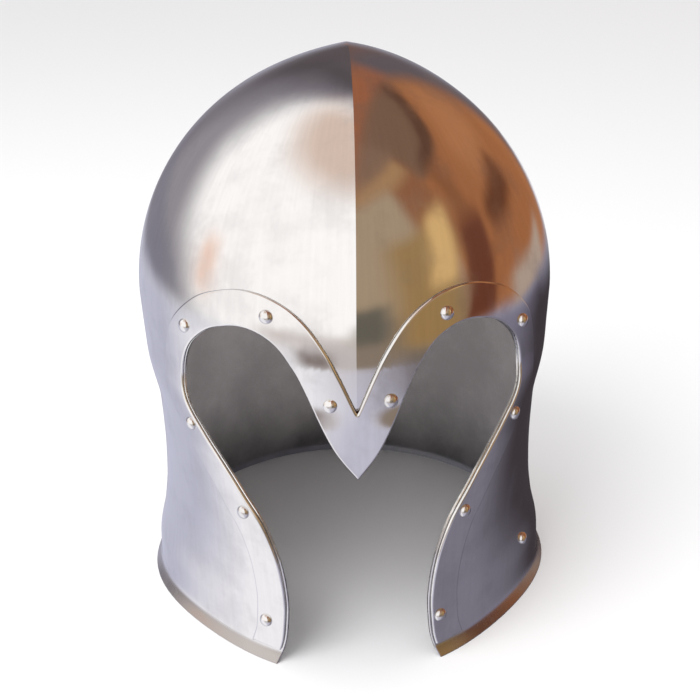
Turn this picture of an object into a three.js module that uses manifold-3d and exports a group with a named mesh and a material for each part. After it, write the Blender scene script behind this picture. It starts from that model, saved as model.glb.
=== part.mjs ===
// A polished steel barbute that stands on its open rim.
// Millimetres and degrees, +Z up, the face towards -Y, +X on the viewer's right.
// The skull, the riveted face band and each rivet are separate closed solids.

import * as THREE from "three";
import { mergeVertices } from "three/addons/utils/BufferGeometryUtils.js";
import Module from "manifold-3d";

const wasm = await Module();
wasm.setup();

// Bowl: distances from the middle line to the outside of the steel at the widest level
const HALF_WIDTH = 105;
const FRONT_DEPTH = 126;
const REAR_DEPTH = 123.5;
const WIDEST_LEVEL = 165;
const DOME_HEIGHT = 116.7;
const RIDGE_SHARPNESS = 0.2;
const CHEEK_FLATTENING = 0.0625;

// The ridge leans a little to the viewer's right towards the apex
const RIDGE_LEAN = 3.9;
const RIDGE_LEAN_WIDTH = 45;
const RIDGE_LEAN_GROWTH = 1.5;

// Sheet steel
const SKULL_SHEET = 1.4;
const BAND_SHEET = 1.2;
const SEAM_GAP = 0.3;

// Turned-out rim at the bottom
const FLANGE_HEIGHT = 6;
const FLANGE_REACH = 3.5;
const FLANGE_BEND = 2;

// Face opening: levels above the rim, and angles round the bowl from the middle of the face
const NASAL_TIP_LEVEL = 112;
const EYE_TOP_LEVEL = 178.5;
const EYE_CORNER_LEVEL = 146;
const SLOT_WAIST_LEVEL = 38.5;
const BROW_ANGLE = 25;
const EYE_REACH_ANGLE = 44.2;
const SLOT_WAIST_ANGLE = 17.3;
const SLOT_FOOT_ANGLE = 21.2;

// Face band, riveted on the outside round the opening
const BAND_BROW_WIDTH = 16;
const BAND_FOOT_WIDTH = 17.5;
const BAND_FOOT_CLEARANCE = 2;
const EDGE_STEP = 1;

// Shares of the way along the opening's edge, from the nasal's tip to the rim: where the band
// starts and stops widening, and where its edge starts and stops stepping back from the skull's
const WIDENING_START = 0.5;
const WIDENING_END = 0.9;
const STEP_START = 0.5;
const STEP_END = 0.85;

// Rivets
const RIVET_HEAD_RADIUS = 3.3;
const RIVET_HEAD_HEIGHT = 2.3;
const RIVET_SHANK_RADIUS = 1.5;
const RIVET_TAIL_RADIUS = 2.5;
const RIVET_TAIL_HEIGHT = 1;
const RIVET_CLEARANCE = 0.3;

// Fineness of the facets
const COLUMN_COUNT = 60;
const FLANGE_ROW_COUNT = 3;
const WALL_ROW_COUNT = 12;
const DOME_ROW_COUNT = 11;
const OUTLINE_STEPS = 60;
const RIVET_SIDES = 8;
const RIVET_DOME_ROWS = 3;

// Level sections of the wall below the widest level, as shares of the bowl's sizes. The ridge
// fades into the smooth nasal and nape, and the cheeks are flatter than an oval.
const WALL_SECTIONS = [
  { level: 1.00, width: 1.000, front: 1.000, rear: 1.000, ridge: 1.00, flat: 0.00 },
  { level: 0.90, width: 0.992, front: 0.996, rear: 0.990, ridge: 0.90, flat: 0.00 },
  { level: 0.82, width: 0.983, front: 0.990, rear: 0.980, ridge: 0.35, flat: 0.00 },
  { level: 0.66, width: 0.939, front: 0.975, rear: 0.958, ridge: 0.05, flat: 0.10 },
  { level: 0.50, width: 0.933, front: 0.956, rear: 0.938, ridge: 0.00, flat: 0.35 },
  { level: 0.36, width: 0.940, front: 0.936, rear: 0.924, ridge: 0.00, flat: 0.60 },
  { level: 0.24, width: 0.962, front: 0.917, rear: 0.918, ridge: 0.00, flat: 0.80 },
  { level: 0.12, width: 1.000, front: 0.900, rear: 0.914, ridge: 0.00, flat: 1.00 },
  { level: 0.00, width: 1.005, front: 0.885, rear: 0.910, ridge: 0.00, flat: 1.00 },
];

// Right half of the face opening, from the tip of the nasal to the rim. Across and rise are
// shares of the way between the named angles and levels of each stretch.
const FLANK_POINTS = [
  { across: 0.000, rise: 0.000 },
  { across: 0.168, rise: 0.193 },
  { across: 0.300, rise: 0.414 },
  { across: 0.420, rise: 0.641 },
  { across: 0.500, rise: 0.767 },
  { across: 0.648, rise: 0.911 },
  { across: 0.820, rise: 0.981 },
];
const EYE_POINTS = [
  { across: 0.000, drop: 0.00 },
  { across: 0.245, drop: 0.05 },
  { across: 0.500, drop: 0.17 },
  { across: 0.854, drop: 0.55 },
  { across: 1.000, drop: 1.00 },
];
const CHEEK_POINTS = [
  { across: 0.960, fall: 0.115 },
  { across: 0.760, fall: 0.240 },
  { across: 0.489, fall: 0.385 },
  { across: 0.328, fall: 0.490 },
  { across: 0.172, fall: 0.605 },
  { across: 0.045, fall: 0.785 },
  { across: 0.000, fall: 1.000 },
];
const FOOT_POINTS = [
  { across: 0.12, fall: 0.34 },
  { across: 0.40, fall: 0.68 },
  { across: 1.00, fall: 1.00 },
];

// Rivets of the band: the side of the face, the share of the way along the opening's edge, and
// the share of the band's width that the rivet stands back from that edge. They are set by hand,
// so the two sides differ a little.
const BAND_RIVETS = [
  { name: "nasal_left", side: -1, along: 0.124, inset: 0.48 },
  { name: "nasal_right", side: 1, along: 0.131, inset: 0.34 },
  { name: "brow_left", side: -1, along: 0.253, inset: 0.54 },
  { name: "brow_right", side: 1, along: 0.257, inset: 0.44 },
  { name: "temple_left", side: -1, along: 0.390, inset: 0.47 },
  { name: "temple_right", side: 1, along: 0.407, inset: 0.50 },
  { name: "upper_cheek_left", side: -1, along: 0.540, inset: 0.31 },
  { name: "upper_cheek_right", side: 1, along: 0.539, inset: 0.44 },
  { name: "mid_cheek_left", side: -1, along: 0.698, inset: 0.38 },
  { name: "mid_cheek_right", side: 1, along: 0.711, inset: 0.38 },
  { name: "lower_cheek_left", side: -1, along: 0.923, inset: 0.66 },
  { name: "lower_cheek_right", side: 1, along: 0.916, inset: 0.33 },
];

// A single rivet in the right side of the skull, behind the band
const SIDE_RIVET_ANGLE = 62;
const SIDE_RIVET_LEVEL = 30;

// Distances that count as touching, in the flat pattern and when corners are merged
const TOUCH = 1e-3;
const TIGHT_TOUCH = 1e-4;

const RADIANS = Math.PI / 180;
const GIRTH_PER_DEGREE = ((HALF_WIDTH + FRONT_DEPTH) / 2) * RADIANS;

const mix = (from, to, share) => from + (to - from) * share;

// Smooth curve through a column of a section table, with no overshoot between its rows
function tableCurve(rows, key, column) {
  const sorted = [...rows].sort((a, b) => a[key] - b[key]);
  const x = sorted.map((row) => row[key]);
  const y = sorted.map((row) => row[column]);
  const slope = x.slice(1).map((value, i) => (y[i + 1] - y[i]) / (value - x[i]));
  const tangent = x.map((_, i) => {
    if (i === 0) return slope[0];
    if (i === x.length - 1) return slope[i - 1];
    const product = slope[i - 1] * slope[i];
    return product > 0 ? (2 * product) / (slope[i - 1] + slope[i]) : 0;
  });
  return (at) => {
    const value = THREE.MathUtils.clamp(at, x[0], x[x.length - 1]);
    const i = Math.max(0, x.findIndex((limit, k) => k > 0 && value <= limit) - 1);
    const step = x[i + 1] - x[i];
    const t = (value - x[i]) / step;
    const s = 1 - t;
    return y[i] * s * s * (1 + 2 * t) + y[i + 1] * t * t * (3 - 2 * t)
      + step * (tangent[i] * t * s * s - tangent[i + 1] * t * t * s);
  };
}

const wallShare = {
  width: tableCurve(WALL_SECTIONS, "level", "width"),
  front: tableCurve(WALL_SECTIONS, "level", "front"),
  rear: tableCurve(WALL_SECTIONS, "level", "rear"),
  ridge: tableCurve(WALL_SECTIONS, "level", "ridge"),
  flat: tableCurve(WALL_SECTIONS, "level", "flat"),
};

// Distance from the middle of an oval section that comes to a blunt point at the middle line
function pointedOval(side, forward, halfWidth, depth, ridge) {
  const a = (side / halfWidth) ** 2 + (1 + 2 * ridge) * (forward / depth) ** 2;
  const b = (2 * ridge * Math.abs(side)) / halfWidth;
  return (Math.sqrt(b * b + 4 * a * (1 + 2 * ridge)) - b) / (2 * a);
}

// How far the flange stands out beyond the wall at a level, with a rounded bend
function flareAt(level) {
  const below = FLANGE_HEIGHT - level;
  const rounded = (below + Math.hypot(below, FLANGE_BEND)) / 2;
  const foot = (FLANGE_HEIGHT + Math.hypot(FLANGE_HEIGHT, FLANGE_BEND)) / 2;
  return (FLANGE_REACH * rounded) / foot;
}

// Point on the outside of the steel. The height runs from 0 at the rim to WIDEST_LEVEL, and
// on over the dome to TOP_HEIGHT at the apex.
const TOP_HEIGHT = WIDEST_LEVEL + DOME_HEIGHT * (Math.PI / 2);

function wallPoint(angle, level) {
  const share = level / WIDEST_LEVEL;
  const side = Math.sin(angle);
  const forward = -Math.cos(angle);
  const isFront = forward < 0;
  const depth = isFront ? FRONT_DEPTH * wallShare.front(share) : REAR_DEPTH * wallShare.rear(share);
  const ridge = RIDGE_SHARPNESS * wallShare.ridge(share);
  const oval = pointedOval(side, forward, HALF_WIDTH * wallShare.width(share), depth, ridge);
  const flattening = isFront ? CHEEK_FLATTENING * wallShare.flat(share) * Math.sin(2 * angle) ** 2 : 0;
  const radius = oval * (1 - flattening) + flareAt(level);
  return new THREE.Vector3(radius * side, radius * forward, level);
}

function domePoint(angle, height) {
  const lift = (height - WIDEST_LEVEL) / DOME_HEIGHT;
  const side = Math.sin(angle) * Math.cos(lift);
  const forward = -Math.cos(angle) * Math.cos(lift);
  const up = Math.sin(lift);
  const reach = Math.max(Math.hypot(forward, up), Number.EPSILON);
  const depth = forward < 0 ? FRONT_DEPTH : REAR_DEPTH;
  const profile = 1 / Math.hypot(forward / reach / depth, up / reach / DOME_HEIGHT);
  const radius = pointedOval(side, reach, HALF_WIDTH, profile, RIDGE_SHARPNESS) + flareAt(WIDEST_LEVEL);
  return new THREE.Vector3(radius * side, radius * forward, WIDEST_LEVEL + radius * up);
}

function bowlPoint(angleDegrees, height) {
  const angle = angleDegrees * RADIANS;
  const point = height < WIDEST_LEVEL ? wallPoint(angle, height) : domePoint(angle, height);
  const rise = Math.max(point.z - WIDEST_LEVEL, 0) / DOME_HEIGHT;
  const nearness = Math.exp(-((point.x / RIDGE_LEAN_WIDTH) ** 2));
  point.x += RIDGE_LEAN * rise ** RIDGE_LEAN_GROWTH * nearness;
  return point;
}

// The sheet's tangents round and up the bowl, per degree and per millimetre, and its normal,
// measured over a short step in degrees and millimetres
const TANGENT_STEP = 0.05;

function bowlFrame(angleDegrees, height) {
  const low = Math.max(height - TANGENT_STEP, 0);
  const high = Math.min(height + TANGENT_STEP, TOP_HEIGHT - TOUCH);
  const level = Math.min(height, high);
  const around = bowlPoint(angleDegrees + TANGENT_STEP, level)
    .sub(bowlPoint(angleDegrees - TANGENT_STEP, level)).divideScalar(2 * TANGENT_STEP);
  const up = bowlPoint(angleDegrees, high).sub(bowlPoint(angleDegrees, low)).divideScalar(high - low);
  const isApex = height > TOP_HEIGHT - TANGENT_STEP;
  const normal = isApex ? new THREE.Vector3(0, 0, 1) : around.clone().cross(up).normalize();
  return { around, up, normal };
}

// Rows of the facet grid, from the rim to the apex, closer together at the flange
function gridHeights() {
  const bendTop = FLANGE_HEIGHT + FLANGE_BEND;
  const heights = [];
  for (let i = 0; i <= FLANGE_ROW_COUNT; i += 1) {
    heights.push(mix(0, FLANGE_HEIGHT, i / FLANGE_ROW_COUNT));
  }
  for (let i = 0; i < WALL_ROW_COUNT; i += 1) {
    heights.push(mix(bendTop, WIDEST_LEVEL, i / WALL_ROW_COUNT));
  }
  for (let i = 0; i <= DOME_ROW_COUNT; i += 1) {
    heights.push(mix(WIDEST_LEVEL, TOP_HEIGHT, i / DOME_ROW_COUNT));
  }
  return heights;
}

const HEIGHTS = gridHeights();
const COLUMN_STEP = 360 / COLUMN_COUNT;

// Grid points with their normals, so that every sheet shares one set of facets
const GRID = HEIGHTS.map((height) => Array.from({ length: COLUMN_COUNT + 1 }, (_, i) => {
  const angle = -180 + i * COLUMN_STEP;
  return { point: bowlPoint(angle, height), ...bowlFrame(angle, height) };
}));

// A grid point moved out by an offset; the rim row stays in the plane that it stands on
function gridCorner(row, column, offset) {
  const { point, normal, up } = GRID[row][column];
  const moved = point.clone().addScaledVector(normal, offset);
  if (row === 0) moved.addScaledVector(up, -moved.z / up.z);
  return moved;
}

// Facets of the two sides of the face mirror each other across the middle line
const leansRight = (column) => column < COLUMN_COUNT / 2;

// Place on the faceted sheet of a point of the flat pattern
function sheetPoint(girth, height, offset) {
  const place = THREE.MathUtils.clamp((girth / GIRTH_PER_DEGREE + 180) / COLUMN_STEP, 0, COLUMN_COUNT);
  const column = Math.min(Math.floor(place + TIGHT_TOUCH / COLUMN_STEP), COLUMN_COUNT - 1);
  const next = HEIGHTS.findIndex((limit, i) => i > 0 && height <= limit + TIGHT_TOUCH);
  const row = next < 0 ? HEIGHTS.length - 2 : next - 1;
  const s = THREE.MathUtils.clamp(place - column, 0, 1);
  const t = THREE.MathUtils.clamp((height - HEIGHTS[row]) / (HEIGHTS[row + 1] - HEIGHTS[row]), 0, 1);
  const low = gridCorner(row, column, offset);
  const lowNext = gridCorner(row, column + 1, offset);
  const high = gridCorner(row + 1, column, offset);
  const highNext = gridCorner(row + 1, column + 1, offset);
  const blend = (corner, first, share, second, otherShare) => corner.clone()
    .addScaledVector(first.clone().sub(corner), share)
    .addScaledVector(second.clone().sub(corner), otherShare);
  if (leansRight(column)) {
    return s >= t ? blend(lowNext, low, 1 - s, highNext, t) : blend(high, low, 1 - t, highNext, s);
  }
  return s + t <= 1 ? blend(low, lowNext, s, high, t) : blend(highNext, high, 1 - s, lowNext, 1 - t);
}

// Solid of a closed geometry
function solidOf(geometry) {
  const bare = geometry.clone();
  bare.deleteAttribute("normal");
  bare.deleteAttribute("uv");
  const merged = mergeVertices(bare, TIGHT_TOUCH);
  return new wasm.Manifold(new wasm.Mesh({
    numProp: 3,
    vertProperties: new Float32Array(merged.attributes.position.array),
    triVerts: new Uint32Array(merged.index.array),
  }));
}

// The pattern is bowed a little, so that no two facets lie in one plane and a cut keeps every
// facet's edges. A corner's place above the bow tells which side of the sheet it is on.
const PATTERN_BOW = 5e-4;
const bowAt = (girth, height) => PATTERN_BOW * (girth ** 2 + girth * height + height ** 2);

// Flat pattern of the whole bowl as a thin slab. Its third coordinate is the offset from the
// outside of the skull.
function patternSlab(inner, outer) {
  const rows = HEIGHTS.length - 1;
  const positions = [inner, outer].flatMap((offset) => HEIGHTS.flatMap((height) => (
    Array.from({ length: COLUMN_COUNT + 1 }, (_, i) => {
      const girth = (i * COLUMN_STEP - 180) * GIRTH_PER_DEGREE;
      return [girth, height, offset + bowAt(girth, height)];
    }).flat())));
  const corner = (layer, row, column) => (layer * (rows + 1) + row) * (COLUMN_COUNT + 1) + column;
  const faces = [];
  const addQuad = (a, b, c, d) => faces.push(a, b, c, a, c, d);
  for (let row = 0; row < rows; row += 1) {
    for (let column = 0; column < COLUMN_COUNT; column += 1) {
      const cell = [[0, 0], [0, 1], [1, 1], [1, 0]].map(([up, along]) => [row + up, column + along]);
      const turned = leansRight(column) ? cell : [...cell.slice(1), cell[0]];
      addQuad(...turned.map(([r, c]) => corner(1, r, c)));
      faces.push(...[0, 2, 1, 0, 3, 2].map((k) => corner(0, ...turned[k])));
    }
  }
  for (let row = 0; row < rows; row += 1) {
    addQuad(corner(1, row, 0), corner(1, row + 1, 0), corner(0, row + 1, 0), corner(0, row, 0));
    addQuad(...[[0, row], [0, row + 1], [1, row + 1], [1, row]].map(([layer, r]) => (
      corner(layer, r, COLUMN_COUNT))));
  }
  for (let column = 0; column < COLUMN_COUNT; column += 1) {
    addQuad(corner(0, 0, column), corner(0, 0, column + 1), corner(1, 0, column + 1), corner(1, 0, column));
    addQuad(...[[1, column], [1, column + 1], [0, column + 1], [0, column]].map(([layer, c]) => (
      corner(layer, rows, c))));
  }
  const slab = new THREE.BufferGeometry();
  slab.setAttribute("position", new THREE.Float32BufferAttribute(positions, 3));
  slab.setIndex(faces);
  return solidOf(slab);
}

// Prism that cuts through every sheet along an outline of the flat pattern
function patternPrism(points) {
  const reach = 2 * bowAt(180 * GIRTH_PER_DEGREE, TOP_HEIGHT);
  const shape = new THREE.Shape(points);
  const prism = new THREE.ExtrudeGeometry(shape, { depth: 2 * reach, bevelEnabled: false });
  prism.translate(0, 0, -reach);
  return solidOf(prism);
}

// Bends a cut pattern round the bowl. The ends of the slab meet at the back of the head and
// its top edge closes at the apex, so their walls are dropped.
function wrapPattern(solid, inner, outer) {
  const mesh = solid.getMesh();
  const flat = [];
  const wrapped = [];
  for (let i = 0; i < mesh.numVert; i += 1) {
    const [girth, height, third] = mesh.vertProperties.slice(i * mesh.numProp, i * mesh.numProp + 3);
    const isOutside = third - bowAt(girth, height) > (inner + outer) / 2;
    flat.push({ girth, height });
    wrapped.push(...sheetPoint(girth, height, isOutside ? outer : inner).toArray());
  }
  const halfGirth = 180 * GIRTH_PER_DEGREE;
  const onEnd = (corner) => Math.abs(Math.abs(flat[corner].girth) - halfGirth) < TOUCH;
  const onTop = (corner) => flat[corner].height > TOP_HEIGHT - TOUCH;
  const faces = [];
  for (let i = 0; i < mesh.triVerts.length; i += 3) {
    const corners = [...mesh.triVerts.slice(i, i + 3)];
    if (!corners.every(onEnd) && !corners.every(onTop)) faces.push(...corners);
  }
  const geometry = new THREE.BufferGeometry();
  geometry.setAttribute("position", new THREE.Float32BufferAttribute(wrapped, 3));
  geometry.setIndex(faces);
  return dropSlivers(mergeVertices(geometry, TOUCH));
}

// Removes triangles that closed up to a line
function dropSlivers(geometry) {
  const index = geometry.index.array;
  const kept = [];
  for (let i = 0; i < index.length; i += 3) {
    const [a, b, c] = index.slice(i, i + 3);
    if (a !== b && b !== c && c !== a) kept.push(a, b, c);
  }
  geometry.setIndex(kept);
  return geometry;
}

// Right half of the opening's edge in the flat pattern, from the nasal tip down to the rim
function openingEdge() {
  const flank = FLANK_POINTS.map(({ across, rise }) => [
    mix(0, BROW_ANGLE, across), mix(NASAL_TIP_LEVEL, EYE_TOP_LEVEL, rise)]);
  const eye = EYE_POINTS.map(({ across, drop }) => [
    mix(BROW_ANGLE, EYE_REACH_ANGLE, across), mix(EYE_TOP_LEVEL, EYE_CORNER_LEVEL, drop)]);
  const cheek = CHEEK_POINTS.map(({ across, fall }) => [
    mix(SLOT_WAIST_ANGLE, EYE_REACH_ANGLE, across), mix(EYE_CORNER_LEVEL, SLOT_WAIST_LEVEL, fall)]);
  const foot = FOOT_POINTS.map(({ across, fall }) => [
    mix(SLOT_WAIST_ANGLE, SLOT_FOOT_ANGLE, across), mix(SLOT_WAIST_LEVEL, 0, fall)]);
  const points = [...flank, ...eye, ...cheek, ...foot].map(([angle, level]) => (
    new THREE.Vector3(angle * GIRTH_PER_DEGREE, level, 0)));
  return new THREE.CatmullRomCurve3(points, false, "centripetal");
}

const EDGE = openingEdge();
const EDGE_SHARES = Array.from({ length: OUTLINE_STEPS + 1 }, (_, i) => i / OUTLINE_STEPS);

// Point beside the opening's edge, set back into the steel by a distance
function besideEdge(share, inset) {
  const point = EDGE.getPointAt(share);
  const along = EDGE.getTangentAt(share);
  return new THREE.Vector2(point.x + along.y * -inset, point.y + along.x * inset);
}

// Closes a right half outline with its mirror image on the left, past the rim or above it
function bothSides(half, footLevel) {
  const foot = half[half.length - 1];
  const right = [...half, new THREE.Vector2(foot.x, footLevel)];
  const left = right.map(({ x, y }) => new THREE.Vector2(-x, y)).reverse();
  return [...right, ...left.filter(({ x }) => x < -TIGHT_TOUCH)];
}

// The opening as it is in the skull, or in the band, whose edge stands back from the skull's by
// a step that grows from nothing at the tip of the nasal to its full size at the cheeks
function openingPrism(step) {
  const half = EDGE_SHARES.map((share) => (
    besideEdge(share, step * THREE.MathUtils.smoothstep(share, STEP_START, STEP_END))));
  return patternPrism(bothSides(half, -FLANGE_HEIGHT));
}

// Width of the band at a share of the way along the opening's edge
function bandWidth(share) {
  const widening = THREE.MathUtils.smoothstep(share, WIDENING_START, WIDENING_END);
  return mix(BAND_BROW_WIDTH, BAND_FOOT_WIDTH, widening);
}

// Everything inside the band's outer edge, which stays the band's width away from the opening.
// The two sides meet above the nasal in a V.
function bandPrism() {
  const footLevel = FLANGE_HEIGHT + BAND_FOOT_CLEARANCE;
  const offset = EDGE_SHARES.map((share) => besideEdge(share, bandWidth(share)));
  const first = offset.findIndex(({ x }) => x > 0);
  const before = offset[first - 1];
  const notch = before.clone().lerp(offset[first], -before.x / (offset[first].x - before.x));
  const half = [notch, ...offset.slice(first).filter(({ y }) => y > footLevel)];
  return patternPrism(bothSides(half, footLevel));
}

// Round hole through the sheets, as it lies in the flat pattern
function holePrism(girth, height) {
  const { around, up } = bowlFrame(girth / GIRTH_PER_DEGREE, height);
  const radius = RIVET_SHANK_RADIUS + RIVET_CLEARANCE;
  const across = (radius * GIRTH_PER_DEGREE) / around.length();
  const upright = radius / up.length();
  return patternPrism(Array.from({ length: RIVET_SIDES }, (_, i) => {
    const turn = (2 * Math.PI * i) / RIVET_SIDES;
    return new THREE.Vector2(girth + across * Math.cos(turn), height + upright * Math.sin(turn));
  }));
}

// Places of all rivets in the flat pattern, with the sheets that each one joins
function rivetPlaces() {
  const places = BAND_RIVETS.map(({ name, side, along, inset }) => {
    const { x, y } = besideEdge(along, inset * bandWidth(along));
    return { name: `rivet_${name}`, girth: side * x, height: y, inBand: true };
  });
  const sideGirth = SIDE_RIVET_ANGLE * GIRTH_PER_DEGREE;
  places.push({ name: "rivet_side_right", girth: sideGirth, height: SIDE_RIVET_LEVEL, inBand: false });
  return places;
}

const RIVETS = rivetPlaces();

function skullGeometry() {
  const holes = RIVETS.map(({ girth, height }) => holePrism(girth, height));
  const sheet = patternSlab(-SKULL_SHEET, 0);
  const cut = [openingPrism(0), ...holes].reduce((solid, tool) => solid.subtract(tool), sheet);
  return wrapPattern(cut, -SKULL_SHEET, 0);
}

function bandGeometry() {
  const outer = SEAM_GAP + BAND_SHEET;
  const sheet = patternSlab(SEAM_GAP, outer).intersect(bandPrism());
  const holes = RIVETS.filter(({ inBand }) => inBand).map(({ girth, height }) => holePrism(girth, height));
  const cut = [openingPrism(EDGE_STEP), ...holes].reduce((solid, tool) => solid.subtract(tool), sheet);
  return wrapPattern(cut, SEAM_GAP, outer);
}

// Domed head outside, shank through the sheets, flat tail inside; the axis is Z and zero is
// the outside of the outermost sheet
function rivetGeometry(grip) {
  const tailTop = -grip - RIVET_CLEARANCE;
  const headSeat = RIVET_CLEARANCE;
  const profile = [
    new THREE.Vector2(0, tailTop - RIVET_TAIL_HEIGHT),
    new THREE.Vector2(RIVET_TAIL_RADIUS, tailTop - RIVET_TAIL_HEIGHT),
    new THREE.Vector2(RIVET_TAIL_RADIUS, tailTop),
    new THREE.Vector2(RIVET_SHANK_RADIUS, tailTop),
    new THREE.Vector2(RIVET_SHANK_RADIUS, headSeat),
  ];
  for (let i = 0; i <= RIVET_DOME_ROWS; i += 1) {
    const turn = (Math.PI / 2) * (i / RIVET_DOME_ROWS);
    const radius = i === RIVET_DOME_ROWS ? 0 : RIVET_HEAD_RADIUS * Math.cos(turn);
    profile.push(new THREE.Vector2(radius, headSeat + RIVET_HEAD_HEIGHT * Math.sin(turn)));
  }
  const lathe = new THREE.LatheGeometry(profile, RIVET_SIDES);
  lathe.deleteAttribute("normal");
  lathe.deleteAttribute("uv");
  lathe.rotateX(Math.PI / 2);
  return dropSlivers(mergeVertices(lathe, TIGHT_TOUCH));
}

function steel(color, roughness) {
  return new THREE.MeshStandardMaterial({ color, roughness, metalness: 1 });
}

function namedMesh(name, geometry, material) {
  geometry.computeVertexNormals();
  const mesh = new THREE.Mesh(geometry, material);
  mesh.name = name;
  return mesh;
}

function buildRivets() {
  const material = steel(0xd6d4d0, 0.18);
  const up = new THREE.Vector3(0, 0, 1);
  return RIVETS.map(({ name, girth, height, inBand }) => {
    const surface = inBand ? SEAM_GAP + BAND_SHEET : 0;
    const mesh = namedMesh(name, rivetGeometry(SKULL_SHEET + surface), material);
    mesh.position.copy(sheetPoint(girth, height, surface));
    const { normal } = bowlFrame(girth / GIRTH_PER_DEGREE, height);
    mesh.quaternion.setFromUnitVectors(up, normal);
    return mesh;
  });
}

function buildBarbute() {
  const shell = new THREE.Group();
  shell.add(namedMesh("skull", skullGeometry(), steel(0xc4c4c8, 0.16)));
  shell.add(namedMesh("face_band", bandGeometry(), steel(0xcfcdcf, 0.14)));
  shell.add(...buildRivets());
  // The origin is the middle of the footprint, in the plane that the rim stands on
  const middle = new THREE.Box3().setFromObject(shell).getCenter(new THREE.Vector3());
  shell.position.set(-middle.x, -middle.y, 0);
  const barbute = new THREE.Group();
  barbute.name = "barbute";
  barbute.add(shell);
  return barbute;
}

export default buildBarbute();
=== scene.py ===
"""Looks of a polished steel barbute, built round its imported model.

Metres, +Z up, the face towards -Y and +X on the viewer's right. The sheets are cut and given
their edges flat, as a pattern of girth and height, and then bent round the bowl.
"""

import logging
import math
import random
from collections.abc import Callable, Iterator
from contextlib import contextmanager
from dataclasses import dataclass, field
from enum import Enum

import bpy
import numpy as np
from mathutils import Matrix, Vector


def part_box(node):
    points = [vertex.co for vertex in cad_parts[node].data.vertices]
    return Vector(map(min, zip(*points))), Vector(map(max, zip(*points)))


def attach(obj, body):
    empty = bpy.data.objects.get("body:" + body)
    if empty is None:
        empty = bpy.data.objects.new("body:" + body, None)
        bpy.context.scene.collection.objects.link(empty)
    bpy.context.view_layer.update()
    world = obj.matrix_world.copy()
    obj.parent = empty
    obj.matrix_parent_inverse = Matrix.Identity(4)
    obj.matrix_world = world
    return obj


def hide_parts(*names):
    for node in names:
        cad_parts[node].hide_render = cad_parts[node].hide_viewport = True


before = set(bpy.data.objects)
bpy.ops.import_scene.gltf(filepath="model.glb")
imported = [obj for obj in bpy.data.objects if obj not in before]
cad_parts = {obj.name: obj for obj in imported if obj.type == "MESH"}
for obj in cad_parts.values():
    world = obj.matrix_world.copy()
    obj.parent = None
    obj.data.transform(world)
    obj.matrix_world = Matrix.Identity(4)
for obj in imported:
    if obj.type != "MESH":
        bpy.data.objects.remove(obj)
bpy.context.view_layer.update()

log = logging.getLogger("barbute")

MM = 0.001
BODY = "root"
WELD_DISTANCE = 0.01 * MM
TINY = 1e-12

Piece = bpy.types.Object
Material = bpy.types.Material
Socket = bpy.types.NodeSocket
Pair = tuple[float, float]
Color = tuple[float, float, float]
ScreenColor = tuple[int, int, int]
Noise = tuple[float, float, float]
FaceTest = Callable[[np.ndarray, np.ndarray], np.ndarray]


class Face(Enum):
    """Kinds of surface on a steel sheet, in the order of its material slots."""

    OUTSIDE = 0
    INSIDE = 1
    EDGE = 2


def linear(red: int, green: int, blue: int) -> Color:
    """Turns a colour as it is seen on a screen, 0 to 255, into the light that makes it.

    Args:
        red: Red of the screen colour.
        green: Green of the screen colour.
        blue: Blue of the screen colour.

    Returns:
        The same colour in linear light.
    """
    return tuple(_linear_share(value / 255) for value in (red, green, blue))


def _linear_share(value: float) -> float:
    """One channel of a screen colour, 0 to 1, in linear light."""
    return value / 12.92 if value <= 0.04045 else ((value + 0.055) / 1.055) ** 2.4


def smoothstep(value: np.ndarray, low: float, high: float) -> np.ndarray:
    """Rises smoothly from 0 at the low value to 1 at the high one."""
    share = np.clip((value - low) / (high - low), 0.0, 1.0)
    return share * share * (3.0 - 2.0 * share)


def mix(low: float, high: float, share: float) -> float:
    """The value at a share of the way from the low one to the high one."""
    return low + (high - low) * share


def table_curve(at: list[float], values: list[float]) -> Callable[[np.ndarray], np.ndarray]:
    """Smooth curve through a column of a section table, with no overshoot between its rows.

    Args:
        at: Where each row lies, rising.
        values: The column's value in each row.

    Returns:
        A function of places that returns the curve's values there.
    """
    x = np.array(at, float)
    y = np.array(values, float)
    slope = np.diff(y) / np.diff(x)
    product = slope[:-1] * slope[1:]
    total = slope[:-1] + slope[1:]
    inner = np.where(product > 0, 2 * product / np.where(product > 0, total, 1.0), 0.0)
    tangent = np.concatenate([slope[:1], inner, slope[-1:]])

    def curve(place: np.ndarray) -> np.ndarray:
        value = np.clip(place, x[0], x[-1])
        i = np.clip(np.searchsorted(x, value, side="left") - 1, 0, len(x) - 2)
        step = x[i + 1] - x[i]
        t = (value - x[i]) / step
        s = 1 - t
        bend = step * (tangent[i] * t * s * s - tangent[i + 1] * t * t * s)
        return y[i] * s * s * (1 + 2 * t) + y[i + 1] * t * t * (3 - 2 * t) + bend

    return curve


@dataclass(frozen=True)
class WallSection:
    """Level section of the wall, as shares of the bowl's sizes."""

    level: float
    width: float
    front: float
    rear: float
    ridge: float
    flat: float


WALL_SECTIONS = (
    WallSection(level=0.00, width=1.005, front=0.885, rear=0.910, ridge=0.00, flat=1.00),
    WallSection(level=0.12, width=1.000, front=0.900, rear=0.914, ridge=0.00, flat=1.00),
    WallSection(level=0.24, width=0.962, front=0.917, rear=0.918, ridge=0.00, flat=0.80),
    WallSection(level=0.36, width=0.940, front=0.936, rear=0.924, ridge=0.00, flat=0.60),
    WallSection(level=0.50, width=0.933, front=0.956, rear=0.938, ridge=0.00, flat=0.35),
    WallSection(level=0.66, width=0.939, front=0.975, rear=0.958, ridge=0.05, flat=0.10),
    WallSection(level=0.82, width=0.983, front=0.990, rear=0.980, ridge=0.35, flat=0.00),
    WallSection(level=0.90, width=0.992, front=0.996, rear=0.990, ridge=0.90, flat=0.00),
    WallSection(level=1.00, width=1.000, front=1.000, rear=1.000, ridge=1.00, flat=0.00),
)


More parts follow.
